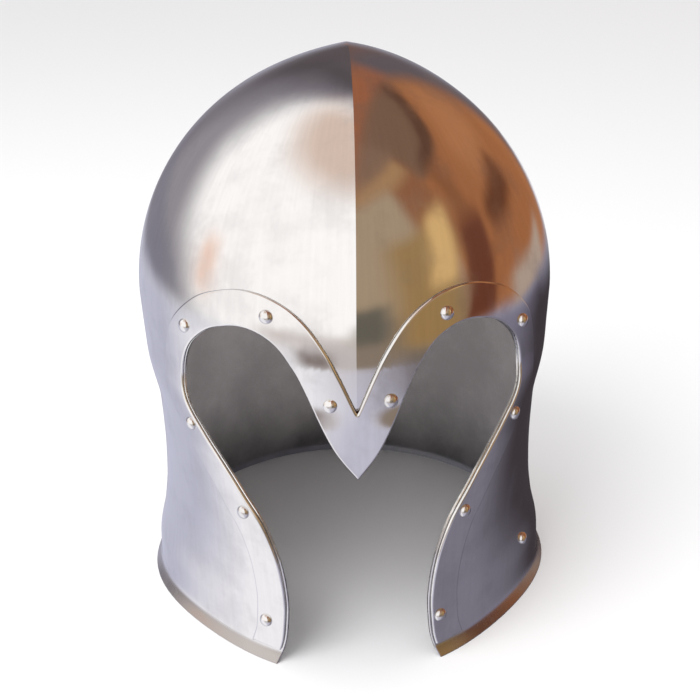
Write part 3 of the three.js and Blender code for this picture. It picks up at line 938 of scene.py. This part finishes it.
@dataclass
class Skull(Sheet):
    """The skull: one sheet with its rim turned out and one opening for the face."""

    name: str = "skull_sheet"
    node: str = "skull"
    slot: str = "skull_steel"
    thickness: float = 1.4 * MM
    offset: float = 0.0
    columns: int = 240
    flange_rows: int = 8
    wall_rows: int = 64
    dome_rows: int = 66
    outline_steps: int = 260
    edge_round: float = 0.3 * MM
    rim_round: float = 0.5 * MM
    rim_segments: int = 2
    cut_depth: float = 6 * MM
    cut_slope: float = 0.25
    tip_fade: float = 0.03

    def _heights(self) -> np.ndarray:
        """Heights of the rows, closer together at the flange's bend."""
        bend_top = self.bowl.flange_height + 2 * self.bowl.flange_bend
        return np.concatenate([
            np.linspace(0.0, bend_top, self.flange_rows, endpoint=False),
            np.linspace(bend_top, self.bowl.widest_level, self.wall_rows, endpoint=False),
            np.linspace(self.bowl.widest_level, self.bowl.top_height, self.dome_rows + 1)])

    def _blank(self) -> Piece:
        """The flat pattern of the whole bowl as a thin slab, with its rim's edge rounded."""
        heights = self._heights()
        piece, points, _column, row = self.new_grid(self.columns, len(heights) - 1)
        points[:, 0] *= 2 * self.bowl.half_girth
        points[:, 1] = heights[row]
        place(piece, points)
        finish_with(piece, "SOLIDIFY", thickness=self.thickness, offset=-1.0)
        points = coordinates(piece)
        edges = read(piece.data.edges, "vertices", 2, np.int32)
        drop = np.abs(points[edges[:, 0], 2] - points[edges[:, 1], 2])
        on_rim = (points[:, 1] < WELD_DISTANCE)[edges].all(axis=1)
        select_faces(piece, lambda centres, _normals: np.zeros(len(centres), bool))
        piece.data.edges.foreach_set("select", on_rim & (drop < WELD_DISTANCE))
        with editing(piece, "EDGE"):
            bpy.ops.mesh.bevel(offset=self.rim_round, segments=self.rim_segments, affect="EDGES")
        return piece

    def _cutter(self) -> Piece:
        """The opening as a prism whose sides widen at both faces of the sheet."""
        shares = np.linspace(0.0, 1.0, self.outline_steps + 1)
        fade = smoothstep(shares, 0.0, self.tip_fade)
        c = self.edge_round
        depths = [self.cut_depth, 0.0, -c, c - self.thickness, -self.thickness,
                  -self.thickness - self.cut_depth]
        widest = c + self.cut_depth * self.cut_slope
        widths = [widest, c, 0.0, 0.0, c, widest]
        rings = []
        for depth, width in zip(depths, widths):
            half = self.opening.beside(shares, width * fade)
            foot = [[half[-1, 0], -3 * self.bowl.flange_height]]
            right = np.vstack([half, foot])
            left = (right * (-1, 1))[::-1]
            ring = np.vstack([right, left[:-1]])
            rings.append(np.column_stack([ring, np.full(len(ring), depth)]))
        deselect_all()
        bpy.ops.mesh.primitive_circle_add(vertices=len(rings[0]), fill_type="NGON")
        cutter = bpy.context.active_object
        for _ring in rings[1:]:
            with editing(cutter):
                extrude()
        place(cutter, np.vstack(rings))
        face_outwards(cutter)
        return cutter

    def build(self, materials: list[Material]) -> None:
        """Models the skull.

        Args:
            materials: One material for each kind in Face.
        """
        piece = self._blank()
        cutter = self._cutter()
        finish_with(piece, "BOOLEAN", operation="DIFFERENCE", object=cutter, solver="MANIFOLD")
        bpy.data.objects.remove(cutter)
        end = self.bowl.half_girth - WELD_DISTANCE
        top = self.bowl.top_height - WELD_DISTANCE
        if select_faces(piece, lambda at, _: (np.abs(at[:, 0]) > end) | (at[:, 1] > top)):
            with editing(piece):
                bpy.ops.mesh.delete(type="FACE")
        self.finish(piece, materials)


@dataclass
class FaceBand(Sheet):
    """The riveted band: its two arms meet in a V over the ridge and run out in the nasal."""

    name: str = "face_band_sheet"
    node: str = "face_band"
    slot: str = "band_steel"
    thickness: float = 1.2 * MM
    offset: float = 1.5 * MM
    brow_width: float = 16 * MM
    foot_width: float = 17.5 * MM
    widening_start: float = 0.5
    widening_end: float = 0.9
    foot_clearance: float = 2 * MM
    columns_before_notch: int = 70
    columns_to_foot: int = 230
    columns_at_foot: int = 10
    inner_rows: int = 12
    rounding: float = 0.9 * MM
    rounding_rows: tuple[float, ...] = (0.0, 0.08, 0.26, 0.55, 1.0)
    least_slope: float = 1e-9
    outline_samples: int = 3001
    foot_samples: int = 200

    def width(self, share: np.ndarray) -> np.ndarray:
        """Distance of the band's outer edge from the opening's edge."""
        widening = smoothstep(np.asarray(share, float), self.widening_start, self.widening_end)
        return self.brow_width + (self.foot_width - self.brow_width) * widening

    @property
    def foot_level(self) -> float:
        """Level at which the band ends above the flange."""
        return self.bowl.flange_height + self.foot_clearance

    @property
    def notch_share(self) -> float:
        """Share of the way along the edge from which the band's outer edge is in sight."""
        return self.opening.share_where(lambda s: self.opening.beside(s, self.width(s))[:, 0] > 0)

    @property
    def notch_height(self) -> float:
        """Height of the bottom of the V between the two arms."""
        share = np.array([self.notch_share])
        return float(self.opening.beside(share, self.width(share))[0, 1])

    def _columns(self) -> np.ndarray:
        """Shares of the way along the edge at which the band has a column of vertices."""
        notch = self.notch_share
        foot = self.opening.share_where(
            lambda s: self.opening.beside(s, self.opening.band_step(s))[:, 1] < self.foot_level)
        last = self.opening.share_where(
            lambda s: (s > foot) & (self.opening.beside(s, self.width(s))[:, 1] < self.foot_level))
        last = last if last > foot else 1.0
        near_foot = foot - np.array(self.rounding_rows[:0:-1]) * self.rounding / self.opening.length
        return np.concatenate([
            np.linspace(0.0, notch, self.columns_before_notch, endpoint=False),
            np.linspace(notch, near_foot[0], self.columns_to_foot, endpoint=False),
            near_foot,
            np.linspace(foot, last, self.columns_at_foot + 1)])

    def _spread(self) -> np.ndarray:
        """Distances of the rows from the band's edge where it is as wide as at the brow."""
        near = np.array(self.rounding_rows) * self.rounding
        between = np.linspace(self.rounding, self.brow_width - self.rounding, self.inner_rows + 1)
        return np.concatenate([near, between[1:-1], self.brow_width - near[::-1]])

    def _half(self) -> Piece:
        """The right half of the band, flat: columns run back from the edge of the opening."""
        shares = self._columns()
        spread = self._spread()
        rows = len(spread) - 1
        piece, _points, column, row = self.new_grid(len(shares) - 1, rows)
        share = shares[column]
        edge = self.opening.at(share)
        inward = self.opening.inward(share)
        width = self.width(share)
        step = self.opening.band_step(share)
        least = self.least_slope
        to_foot = (self.foot_level - edge[:, 1]) / np.maximum(inward[:, 1], least)
        start = np.where(edge[:, 1] + step * inward[:, 1] < self.foot_level, to_foot, step)
        to_middle = -edge[:, 0] / np.minimum(inward[:, 0], -least)
        end = np.minimum(width, np.where(inward[:, 0] < -least, to_middle, 1.0))
        low = start + spread[row]
        high = width - (self.brow_width - spread[row])
        middle = start + spread[row] * (width - start) / self.brow_width
        first, last = len(self.rounding_rows), rows - len(self.rounding_rows)
        inset = np.where(row < first, low, np.where(row > last, high, middle))
        inset = np.where(row == rows, end, np.minimum(inset, end))
        points = edge + inward * inset[:, None]
        place(piece, np.column_stack([points, np.zeros(len(points))]))
        return piece

    def _outline(self) -> np.ndarray:
        """Dense points of the right half's outline, without the middle line."""
        shares = np.linspace(0.0, 1.0, self.outline_samples)
        edge = self.opening.beside(shares, self.opening.band_step(shares))
        outer = self.opening.beside(shares, self.width(shares))
        outer = outer[outer[:, 0] > 0]
        foot = np.linspace(edge[-1, 0], outer[-1, 0], self.foot_samples)
        line = np.column_stack([foot, np.full(len(foot), self.foot_level)])
        points = np.vstack([edge, outer, line])
        return points[points[:, 1] > self.foot_level - WELD_DISTANCE]

    def _round_over(self, piece: Piece) -> None:
        """Rounds the outside's edges, by sinking its vertices near the outline."""
        points = coordinates(piece)
        outline = self._outline()
        top = np.flatnonzero(points[:, 2] > -self.thickness / 2)
        flat = np.column_stack([np.abs(points[top, 0]), points[top, 1]])
        away = np.array([np.min(np.hypot(*(outline - row).T)) for row in flat])
        inner = np.clip(self.rounding - away, 0.0, self.rounding)
        points[top, 2] -= self.rounding - np.sqrt(self.rounding ** 2 - inner ** 2)
        place(piece, points)

    def build(self, materials: list[Material]) -> None:
        """Models the band.

        Args:
            materials: One material for each kind in Face.
        """
        piece = self._half()
        finish_with(piece, "MIRROR", use_axis=(True, False, False), merge_threshold=WELD_DISTANCE)
        weld(piece)
        face_outwards(piece)
        if select_faces(piece, lambda _centres, normals: normals[:, 2] < 0):
            with editing(piece):
                bpy.ops.mesh.flip_normals()
        finish_with(piece, "SOLIDIFY", thickness=self.thickness, offset=-1.0)
        self._round_over(piece)
        self.finish(piece, materials)


@dataclass(frozen=True)
class BandRivet:
    """Place of a rivet: its side, and its shares of the way along the edge and across the band."""

    node: str
    side: int
    along: float
    inset: float


@dataclass
class Rivets:
    """Hammered rivets with domed heads outside and small tails inside."""

    skull: Skull
    band: FaceBand
    head_radius: float = 3.3 * MM
    head_height: float = 2.5 * MM
    skirt: float = 0.15 * MM
    shank_radius: float = 1.5 * MM
    tail_radius: float = 2.5 * MM
    tail_height: float = 1.2 * MM
    tail_segments: int = 3
    sides: int = 32
    rings: int = 20
    flat_limit: float = -0.99
    smooth_angle: float = 40.0
    side_angle: float = 62.0
    side_level: float = 30 * MM
    flattening: float = 0.06
    lean: float = 2.0
    seed: int = 5

    PLACES = (
        BandRivet("rivet_nasal_left", side=-1, along=0.124, inset=0.48),
        BandRivet("rivet_nasal_right", side=1, along=0.131, inset=0.34),
        BandRivet("rivet_brow_left", side=-1, along=0.253, inset=0.54),
        BandRivet("rivet_brow_right", side=1, along=0.257, inset=0.44),
        BandRivet("rivet_temple_left", side=-1, along=0.390, inset=0.47),
        BandRivet("rivet_temple_right", side=1, along=0.407, inset=0.50),
        BandRivet("rivet_upper_cheek_left", side=-1, along=0.540, inset=0.31),
        BandRivet("rivet_upper_cheek_right", side=1, along=0.539, inset=0.44),
        BandRivet("rivet_mid_cheek_left", side=-1, along=0.698, inset=0.38),
        BandRivet("rivet_mid_cheek_right", side=1, along=0.711, inset=0.38),
        BandRivet("rivet_lower_cheek_left", side=-1, along=0.923, inset=0.66),
        BandRivet("rivet_lower_cheek_right", side=1, along=0.916, inset=0.33),
    )

    def _head(self, grip: float) -> Piece:
        """One rivet at the origin, its axis along Z and the sheet's outside at zero.

        Args:
            grip: Thickness of the sheets that it holds together.

        Returns:
            The rivet.
        """
        deselect_all()
        bpy.ops.mesh.primitive_uv_sphere_add(segments=self.sides, ring_count=self.rings, radius=1.0)
        piece = bpy.context.active_object
        with editing(piece):
            bpy.ops.mesh.select_all(action="SELECT")
            bpy.ops.mesh.bisect(plane_co=(0, 0, 0), plane_no=(0, 0, 1), clear_inner=True,
                                use_fill=True)
            bpy.ops.mesh.select_all(action="SELECT")
            bpy.ops.transform.resize(value=(self.head_radius, self.head_radius, self.head_height),
                                     center_override=(0, 0, 0))
        select_faces(piece, lambda _centres, normals: normals[:, 2] < self.flat_limit)
        shank = self.shank_radius / self.head_radius
        tail = self.tail_radius / self.shank_radius
        with editing(piece):
            for length, growth in ((self.skirt, shank), (grip - self.skirt, tail)):
                extrude(length)
                extrude()
                bpy.ops.transform.resize(value=(growth, growth, 1), center_override=(0, 0, 0))
            extrude(self.tail_height)
            bpy.ops.mesh.bevel(offset=self.tail_height / 2, segments=self.tail_segments,
                               affect="EDGES")
        activate(piece)
        bpy.ops.object.shade_smooth_by_angle(angle=math.radians(self.smooth_angle))
        return piece

    def _places(self) -> list[tuple[str, np.ndarray, bool]]:
        """Node, pattern point and whether the rivet goes through the band, for every rivet."""
        found = []
        for row in self.PLACES:
            share = np.array([row.along])
            x, y = self.band.opening.beside(share, row.inset * self.band.width(share))[0]
            found.append((row.node, np.array([row.side * x, y]), True))
        side = np.array([self.side_angle * self.band.bowl.girth_per_degree, self.side_level])
        found.append(("rivet_side_right", side, False))
        return found

    def build(self, material: Material) -> None:
        """Models every rivet.

        Args:
            material: The finish of the heads and tails.
        """
        bowl = self.band.bowl
        models = {True: self._head(self.skull.thickness + self.band.offset),
                  False: self._head(self.skull.thickness)}
        chance = random.Random(self.seed)
        for node, pattern, in_band in self._places():
            angle = pattern[:1] / bowl.girth_per_degree
            normal = Vector(bowl.normal(angle, pattern[1:])[0])
            surface = self.band.offset if in_band else 0.0
            seat = Vector(bowl.point(angle, pattern[1:])[0]) + normal * surface
            piece = models[in_band].copy()
            piece.data = models[in_band].data.copy()
            bpy.context.scene.collection.objects.link(piece)
            piece.name = piece.data.name = f"hammered_{node}"
            turn = Matrix.Rotation(chance.uniform(0, math.tau), 4, "Z")
            tilt = Matrix.Rotation(math.radians(chance.uniform(-self.lean, self.lean)), 4, "X")
            squash = Matrix.Diagonal((1.0, 1.0 - chance.uniform(0, self.flattening),
                                      1.0 - chance.uniform(0, 2 * self.flattening), 1.0))
            upright = normal.to_track_quat("Z", "Y").to_matrix().to_4x4()
            piece.data.transform(Matrix.Translation(seat) @ upright @ turn @ tilt @ squash)
            piece.data.materials.append(material)
            low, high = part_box(node)
            log.info("%s: %.2f mm from its node", piece.name, ((low + high) / 2 - seat).length / MM)
            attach(piece, BODY)
            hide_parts(node)
        for model in models.values():
            bpy.data.objects.remove(model)


@dataclass(frozen=True)
class Zone:
    """Soft-edged patch of what the steel reflects, in degrees, with its colour on a screen.

    Azimuth runs round from the front, positive to the right, and moves by lean for each degree of
    elevation. Side is the angle from the middle plane of the helmet. Soft holds the widths over
    which azimuth and elevation fade.
    """

    name: str
    azimuth: Pair
    elevation: Pair
    soft: Pair
    color: ScreenColor
    lean: float = 0.0
    side: Pair | None = None


RIGHT_OF_RIDGE = (2.5, 95)


@dataclass
class Studio:
    """Pale floor, soft light and the coloured zones that polished steel shows as reflections."""

    floor_size: float = 60.0
    pale: Color = (0.86, 0.86, 0.87)
    floor_roughness: float = 0.65
    # The card under the helmet is painted shade for the shaded floor inside it, seen only in
    # reflections.
    card_share: float = 0.965
    card_height: float = 0.4 * MM
    card_sides: int = 72
    card_color: Color = (0.02, 0.02, 0.025)
    card_roughness: float = 0.9
    ambient: float = 1.0
    reflection_strength: float = 1.25
    key_power: float = 22.0
    key_size: float = 1.1
    key_distance: float = 1.7
    key_azimuth: float = -42.0
    key_elevation: float = 46.0
    key_target: Color = (0.0, 0.0, 0.14)
    warp: float = 6.0
    warp_noise: Noise = (2.6, 3.0, 0.55)
    side_soft: float = 2.5
    room_color: ScreenColor = (150, 150, 164)

    ZONES = (
        Zone("left wall", (-220, 40), (-40, 95), (4, 8), (253, 251, 250)),
        Zone("left haze", (-260, -104), (-14, 80), (36, 12), (142, 138, 144), lean=-0.85),
        Zone("left dusk", (-220, -152), (-14, 64), (16, 16), (116, 110, 118)),
        Zone("left dark", (-220, -163), (14, 62), (14, 16), (78, 72, 76)),
        Zone("left sill", (-160, -114), (-14, 2), (34, 10), (124, 122, 134)),
        Zone("warm spot", (-97, -86), (-2, 18), (8, 12), (236, 206, 190)),
        Zone("front warm", (-60, 22), (-30, -7), (20, 6), (200, 190, 185)),
        Zone("left ceiling", (-150, -24), (58, 84), (34, 18), (212, 190, 176)),
        Zone("top", (-220, 220), (82, 95), (4, 16), (206, 190, 182)),
        Zone("left floor", (-220, -78), (-95, -13), (24, 8), (182, 183, 200)),
        Zone("front floor", (-100, 70), (-95, -24), (24, 3), (190, 189, 204)),
        Zone("left floor light", (-108, -26), (-80, -14), (44, 14), (240, 239, 243)),
        Zone("front dusk", (-18, 16), (-14, -2), (8, 5), (186, 179, 172)),
        Zone("front light", (-30, 30), (-26, -13), (12, 8), (190, 183, 182)),
        Zone("arm shade", (-44, -27), (-24, -15), (9, 7), (126, 114, 109)),
        Zone("right wall", (-220, 75), (-25, 95), (4, 3), (132, 118, 104), side=RIGHT_OF_RIDGE),
        Zone("far right wall", (75, 220), (-13, 95), (10, 6), (160, 104, 66)),
        Zone("upper right", (-220, 220), (14, 95), (4, 10), (136, 90, 62), side=RIGHT_OF_RIDGE),
        Zone("orange wall", (84, 148), (-6, 44), (8, 5), (154, 98, 62), side=RIGHT_OF_RIDGE),
        Zone("orange light", (116, 152), (18, 36), (20, 12), (168, 112, 74)),
        Zone("taupe panel", (86, 165), (42, 95), (8, 4), (116, 88, 70), side=RIGHT_OF_RIDGE),
        Zone("taupe edge", (92, 158), (41, 47), (10, 4), (88, 60, 46)),
        Zone("front taupe", (-10, 90), (57, 95), (8, 4), (126, 98, 80), side=RIGHT_OF_RIDGE),
        Zone("tan bar", (-10, 84), (50, 58), (6, 6), (160, 124, 88), side=RIGHT_OF_RIDGE),
        Zone("beige panel", (-10, 62), (-2, 51), (10, 7), (160, 140, 116), side=RIGHT_OF_RIDGE),
        Zone("olive gold", (40, 74), (-17, 30), (20, 10), (150, 120, 78)),
        Zone("gold light", (56, 71), (6, 33), (8, 8), (206, 168, 112), lean=0.35),
        Zone("brown bar", (79, 90), (20, 42), (7, 8), (132, 84, 54), lean=0.3),
        Zone("dark post", (77, 94), (-14, 22), (5, 10), (100, 56, 40), lean=0.3),
        Zone("dark sill", (104, 131), (9, 19), (8, 6), (94, 54, 34)),
        Zone("low olive", (-1, 36), (-12, 5), (10, 6), (98, 93, 83), side=RIGHT_OF_RIDGE),
        Zone("right arm", (44, 80), (-28, -18), (8, 6), (114, 103, 92)),
        Zone("rear right", (156, 220), (-14, 64), (12, 14), (92, 84, 88), side=RIGHT_OF_RIDGE),
        Zone("ridge stripe", (-220, 220), (36, 95), (4, 14), (148, 92, 64), side=(2.5, 19.0)),
        Zone("ridge light", (-10, 70), (4, 38), (4, 10), (184, 156, 126), side=(2.5, 19.5)),
        Zone("beige low", (106, 140), (-14, -5), (12, 5), (168, 150, 136)),
        Zone("lilac low", (78, 150), (-26, -15), (14, 6), (124, 120, 138)),
        Zone("rear slit", (158, 220), (-22, -8), (10, 8), (222, 220, 226)),
        Zone("right floor", (45, 220), (-95, -24), (60, 4), (120, 117, 130)),
        Zone("right gloom", (118, 180), (-46, -16), (44, 8), (58, 52, 56)),
        Zone("rear left", (-260, -170), (6, 95), (16, 16), (86, 78, 80)),
        Zone("rear end", (172, 260), (6, 95), (14, 16), (112, 80, 68)),
        Zone("rear left floor", (-260, -168), (-95, 6), (20, 16), (150, 149, 160)),
        Zone("rear end floor", (168, 260), (-95, 6), (20, 16), (150, 149, 160)),
    )

    def _floor(self) -> None:
        """A pale floor far wider than the view."""
        deselect_all()
        bpy.ops.mesh.primitive_plane_add(size=self.floor_size)
        floor = bpy.context.active_object
        floor.name = "floor"
        floor.data.materials.append(plain_material("pale_floor", self.pale, self.floor_roughness))
        floor.visible_glossy = False

    def _painted_shade_card(self, bowl: Bowl) -> None:
        """Painted shade: a dark card under the helmet, seen only in reflections, that stands in for
        the shaded floor inside it.
        """
        deselect_all()
        bpy.ops.mesh.primitive_circle_add(vertices=self.card_sides, radius=1.0, fill_type="NGON")
        card = bpy.context.active_object
        card.name = "painted_shade_card"
        around = coordinates(card)
        angles = np.degrees(np.arctan2(around[:, 0], -around[:, 1]))
        outline = bowl.point(angles, np.full(len(angles), bowl.flange_height))
        outline *= self.card_share
        outline[:, 2] = self.card_height
        place(card, outline)
        dark = plain_material("painted_shade_card", self.card_color, self.card_roughness)
        card.data.materials.append(dark)
        card.visible_camera = card.visible_diffuse = card.visible_shadow = False

    def _key(self) -> None:
        """A large soft light from the upper left."""
        light = bpy.data.lights.new("softbox", "AREA")
        light.size = self.key_size
        light.energy = self.key_power
        piece = bpy.data.objects.new("softbox", light)
        bpy.context.scene.collection.objects.link(piece)
        back = direction(self.key_azimuth, self.key_elevation)
        piece.location = Vector(self.key_target) + back * self.key_distance
        piece.rotation_mode = "QUATERNION"
        piece.rotation_quaternion = back.to_track_quat("Z", "Y")
        piece.visible_camera = piece.visible_glossy = False

    @staticmethod
    def _band(graph: Graph, value: Socket, limits: Pair, soft: float) -> Socket:
        """One where a value lies between two limits, fading out over the soft width."""
        half = soft / 2
        low, high = limits
        rise = graph.ramp(value, low - half, low + half)
        fall = graph.ramp(value, high - half, high + half, 1.0, 0.0)
        return graph.times(rise, fall)

    def _zone_mask(self, graph: Graph, azimuth: Socket, elevation: Socket, side: Socket,
                   zone: Zone) -> Socket:
        """How much of a zone is seen in a direction."""
        around = azimuth
        if zone.lean:
            around = graph.math("SUBTRACT", azimuth, graph.times(elevation, zone.lean))
        mask = graph.times(self._band(graph, around, zone.azimuth, zone.soft[0]),
                          self._band(graph, elevation, zone.elevation, zone.soft[1]))
        if zone.side:
            mask = graph.times(mask, self._band(graph, side, zone.side, self.side_soft))
        return mask

    def _world(self) -> None:
        """Even light for the floor, and the zones for what polished steel reflects."""
        world = bpy.data.worlds.new("studio")
        bpy.context.scene.world = world
        world.use_nodes = True
        world.node_tree.nodes.clear()
        graph = Graph(world.node_tree)
        way = graph.add("ShaderNodeTexCoord").outputs["Generated"]
        x, y, z = graph.add("ShaderNodeSeparateXYZ", {0: way}).outputs
        azimuth = graph.math("DEGREES", graph.math("ARCTAN2", x, graph.times(y, -1.0)))
        elevation = graph.math("DEGREES", graph.math("ARCSINE", z))
        wander = graph.math("SUBTRACT", graph.noise(way, *self.warp_noise), 0.5)
        shift = graph.times(wander, self.warp)
        azimuth = graph.math("ADD", azimuth, shift)
        elevation = graph.math("ADD", elevation, shift)
        side = graph.math("DEGREES", graph.math("ARCSINE", x))
        colour: object = linear(*self.room_color)
        for zone in self.ZONES:
            mask = self._zone_mask(graph, azimuth, elevation, side, zone)
            colour = graph.blend(mask, colour, linear(*zone.color))
        paths = graph.add("ShaderNodeLightPath").outputs
        lit = graph.either(paths["Is Glossy Ray"], graph.background((1.0, 1.0, 1.0), self.ambient),
                           graph.background(colour, self.reflection_strength))
        seen = graph.either(paths["Is Camera Ray"], lit, graph.background(self.pale, 1.0))
        graph.add("ShaderNodeOutputWorld", {"Surface": seen})

    def build(self, bowl: Bowl) -> None:
        """Sets up floor, light and surroundings.

        Args:
            bowl: The bowl that stands on the floor.
        """
        self._floor()
        self._painted_shade_card(bowl)
        self._key()
        self._world()
        bpy.context.scene.view_settings.view_transform = "Standard"
        log.info("studio: %d zones", len(self.ZONES))


@dataclass
class FrontCamera:
    """The camera at the photograph's angle, worked out for a picture of 700 by 700 pixels."""

    azimuth: float = -1.997
    elevation: float = 20.762
    roll: float = -1.10
    distance: float = 606.6 * MM
    aim_height: float = 150 * MM
    picture: float = 700.0
    focal_pixels: float = 1154.9
    centre_x: float = 344.7
    centre_y: float = 298.2
    sensor: float = 36.0
    nearest: float = 10 * MM

    def build(self, bowl: Bowl) -> None:
        """Makes the camera.

        Args:
            bowl: The bowl whose middle line the camera is aimed at.
        """
        a, r = math.radians(self.azimuth), math.radians(self.roll)
        back = direction(self.azimuth, self.elevation)
        level = Vector((math.cos(a), math.sin(a), 0.0))
        upright = back.cross(level)
        right = level * math.cos(r) + upright * math.sin(r)
        up = upright * math.cos(r) - level * math.sin(r)
        data = bpy.data.cameras.new("front_camera")
        data.sensor_width = self.sensor
        data.lens = self.sensor * self.focal_pixels / self.picture
        data.shift_x = 0.5 - self.centre_x / self.picture
        data.shift_y = self.centre_y / self.picture - 0.5
        data.clip_start = self.nearest
        camera = bpy.data.objects.new("front_camera", data)
        bpy.context.scene.collection.objects.link(camera)
        turned = Matrix((right, up, back)).transposed()
        camera.rotation_mode = "QUATERNION"
        camera.rotation_quaternion = turned.to_quaternion()
        camera.location = Vector((0.0, bowl.middle, self.aim_height)) + back * self.distance
        bpy.context.scene.camera = camera


def main() -> None:
    """Builds the helmet, the studio and the camera."""
    logging.basicConfig(level=logging.INFO, format="%(name)s: %(message)s")
    bowl = Bowl()
    opening = FaceOpening(bowl)
    groups = ShaderGroups()
    inside = DullSteel("dull_inside").build()
    edge = FiledEdge("filed_edge").build(groups)
    band = FaceBand(bowl, opening)
    skull_steel = PolishedSteel("polished_skull", rim_level=bowl.flange_height,
                                spot_height=band.notch_height).build(groups)
    band_steel = PolishedSteel("polished_band", gloss=0.08, smudge=0.1).build(groups)
    rivet_steel = PolishedSteel("polished_rivets", gloss=0.12, waviness=0.3).build(groups)
    skull = Skull(bowl, opening)
    skull.build([skull_steel, inside, edge])
    band.build([band_steel, inside, edge])
    Rivets(skull, band).build(rivet_steel)
    Studio().build(bowl)
    FrontCamera().build(bowl)
    deselect_all()


if __name__ == "__main__":
    main()
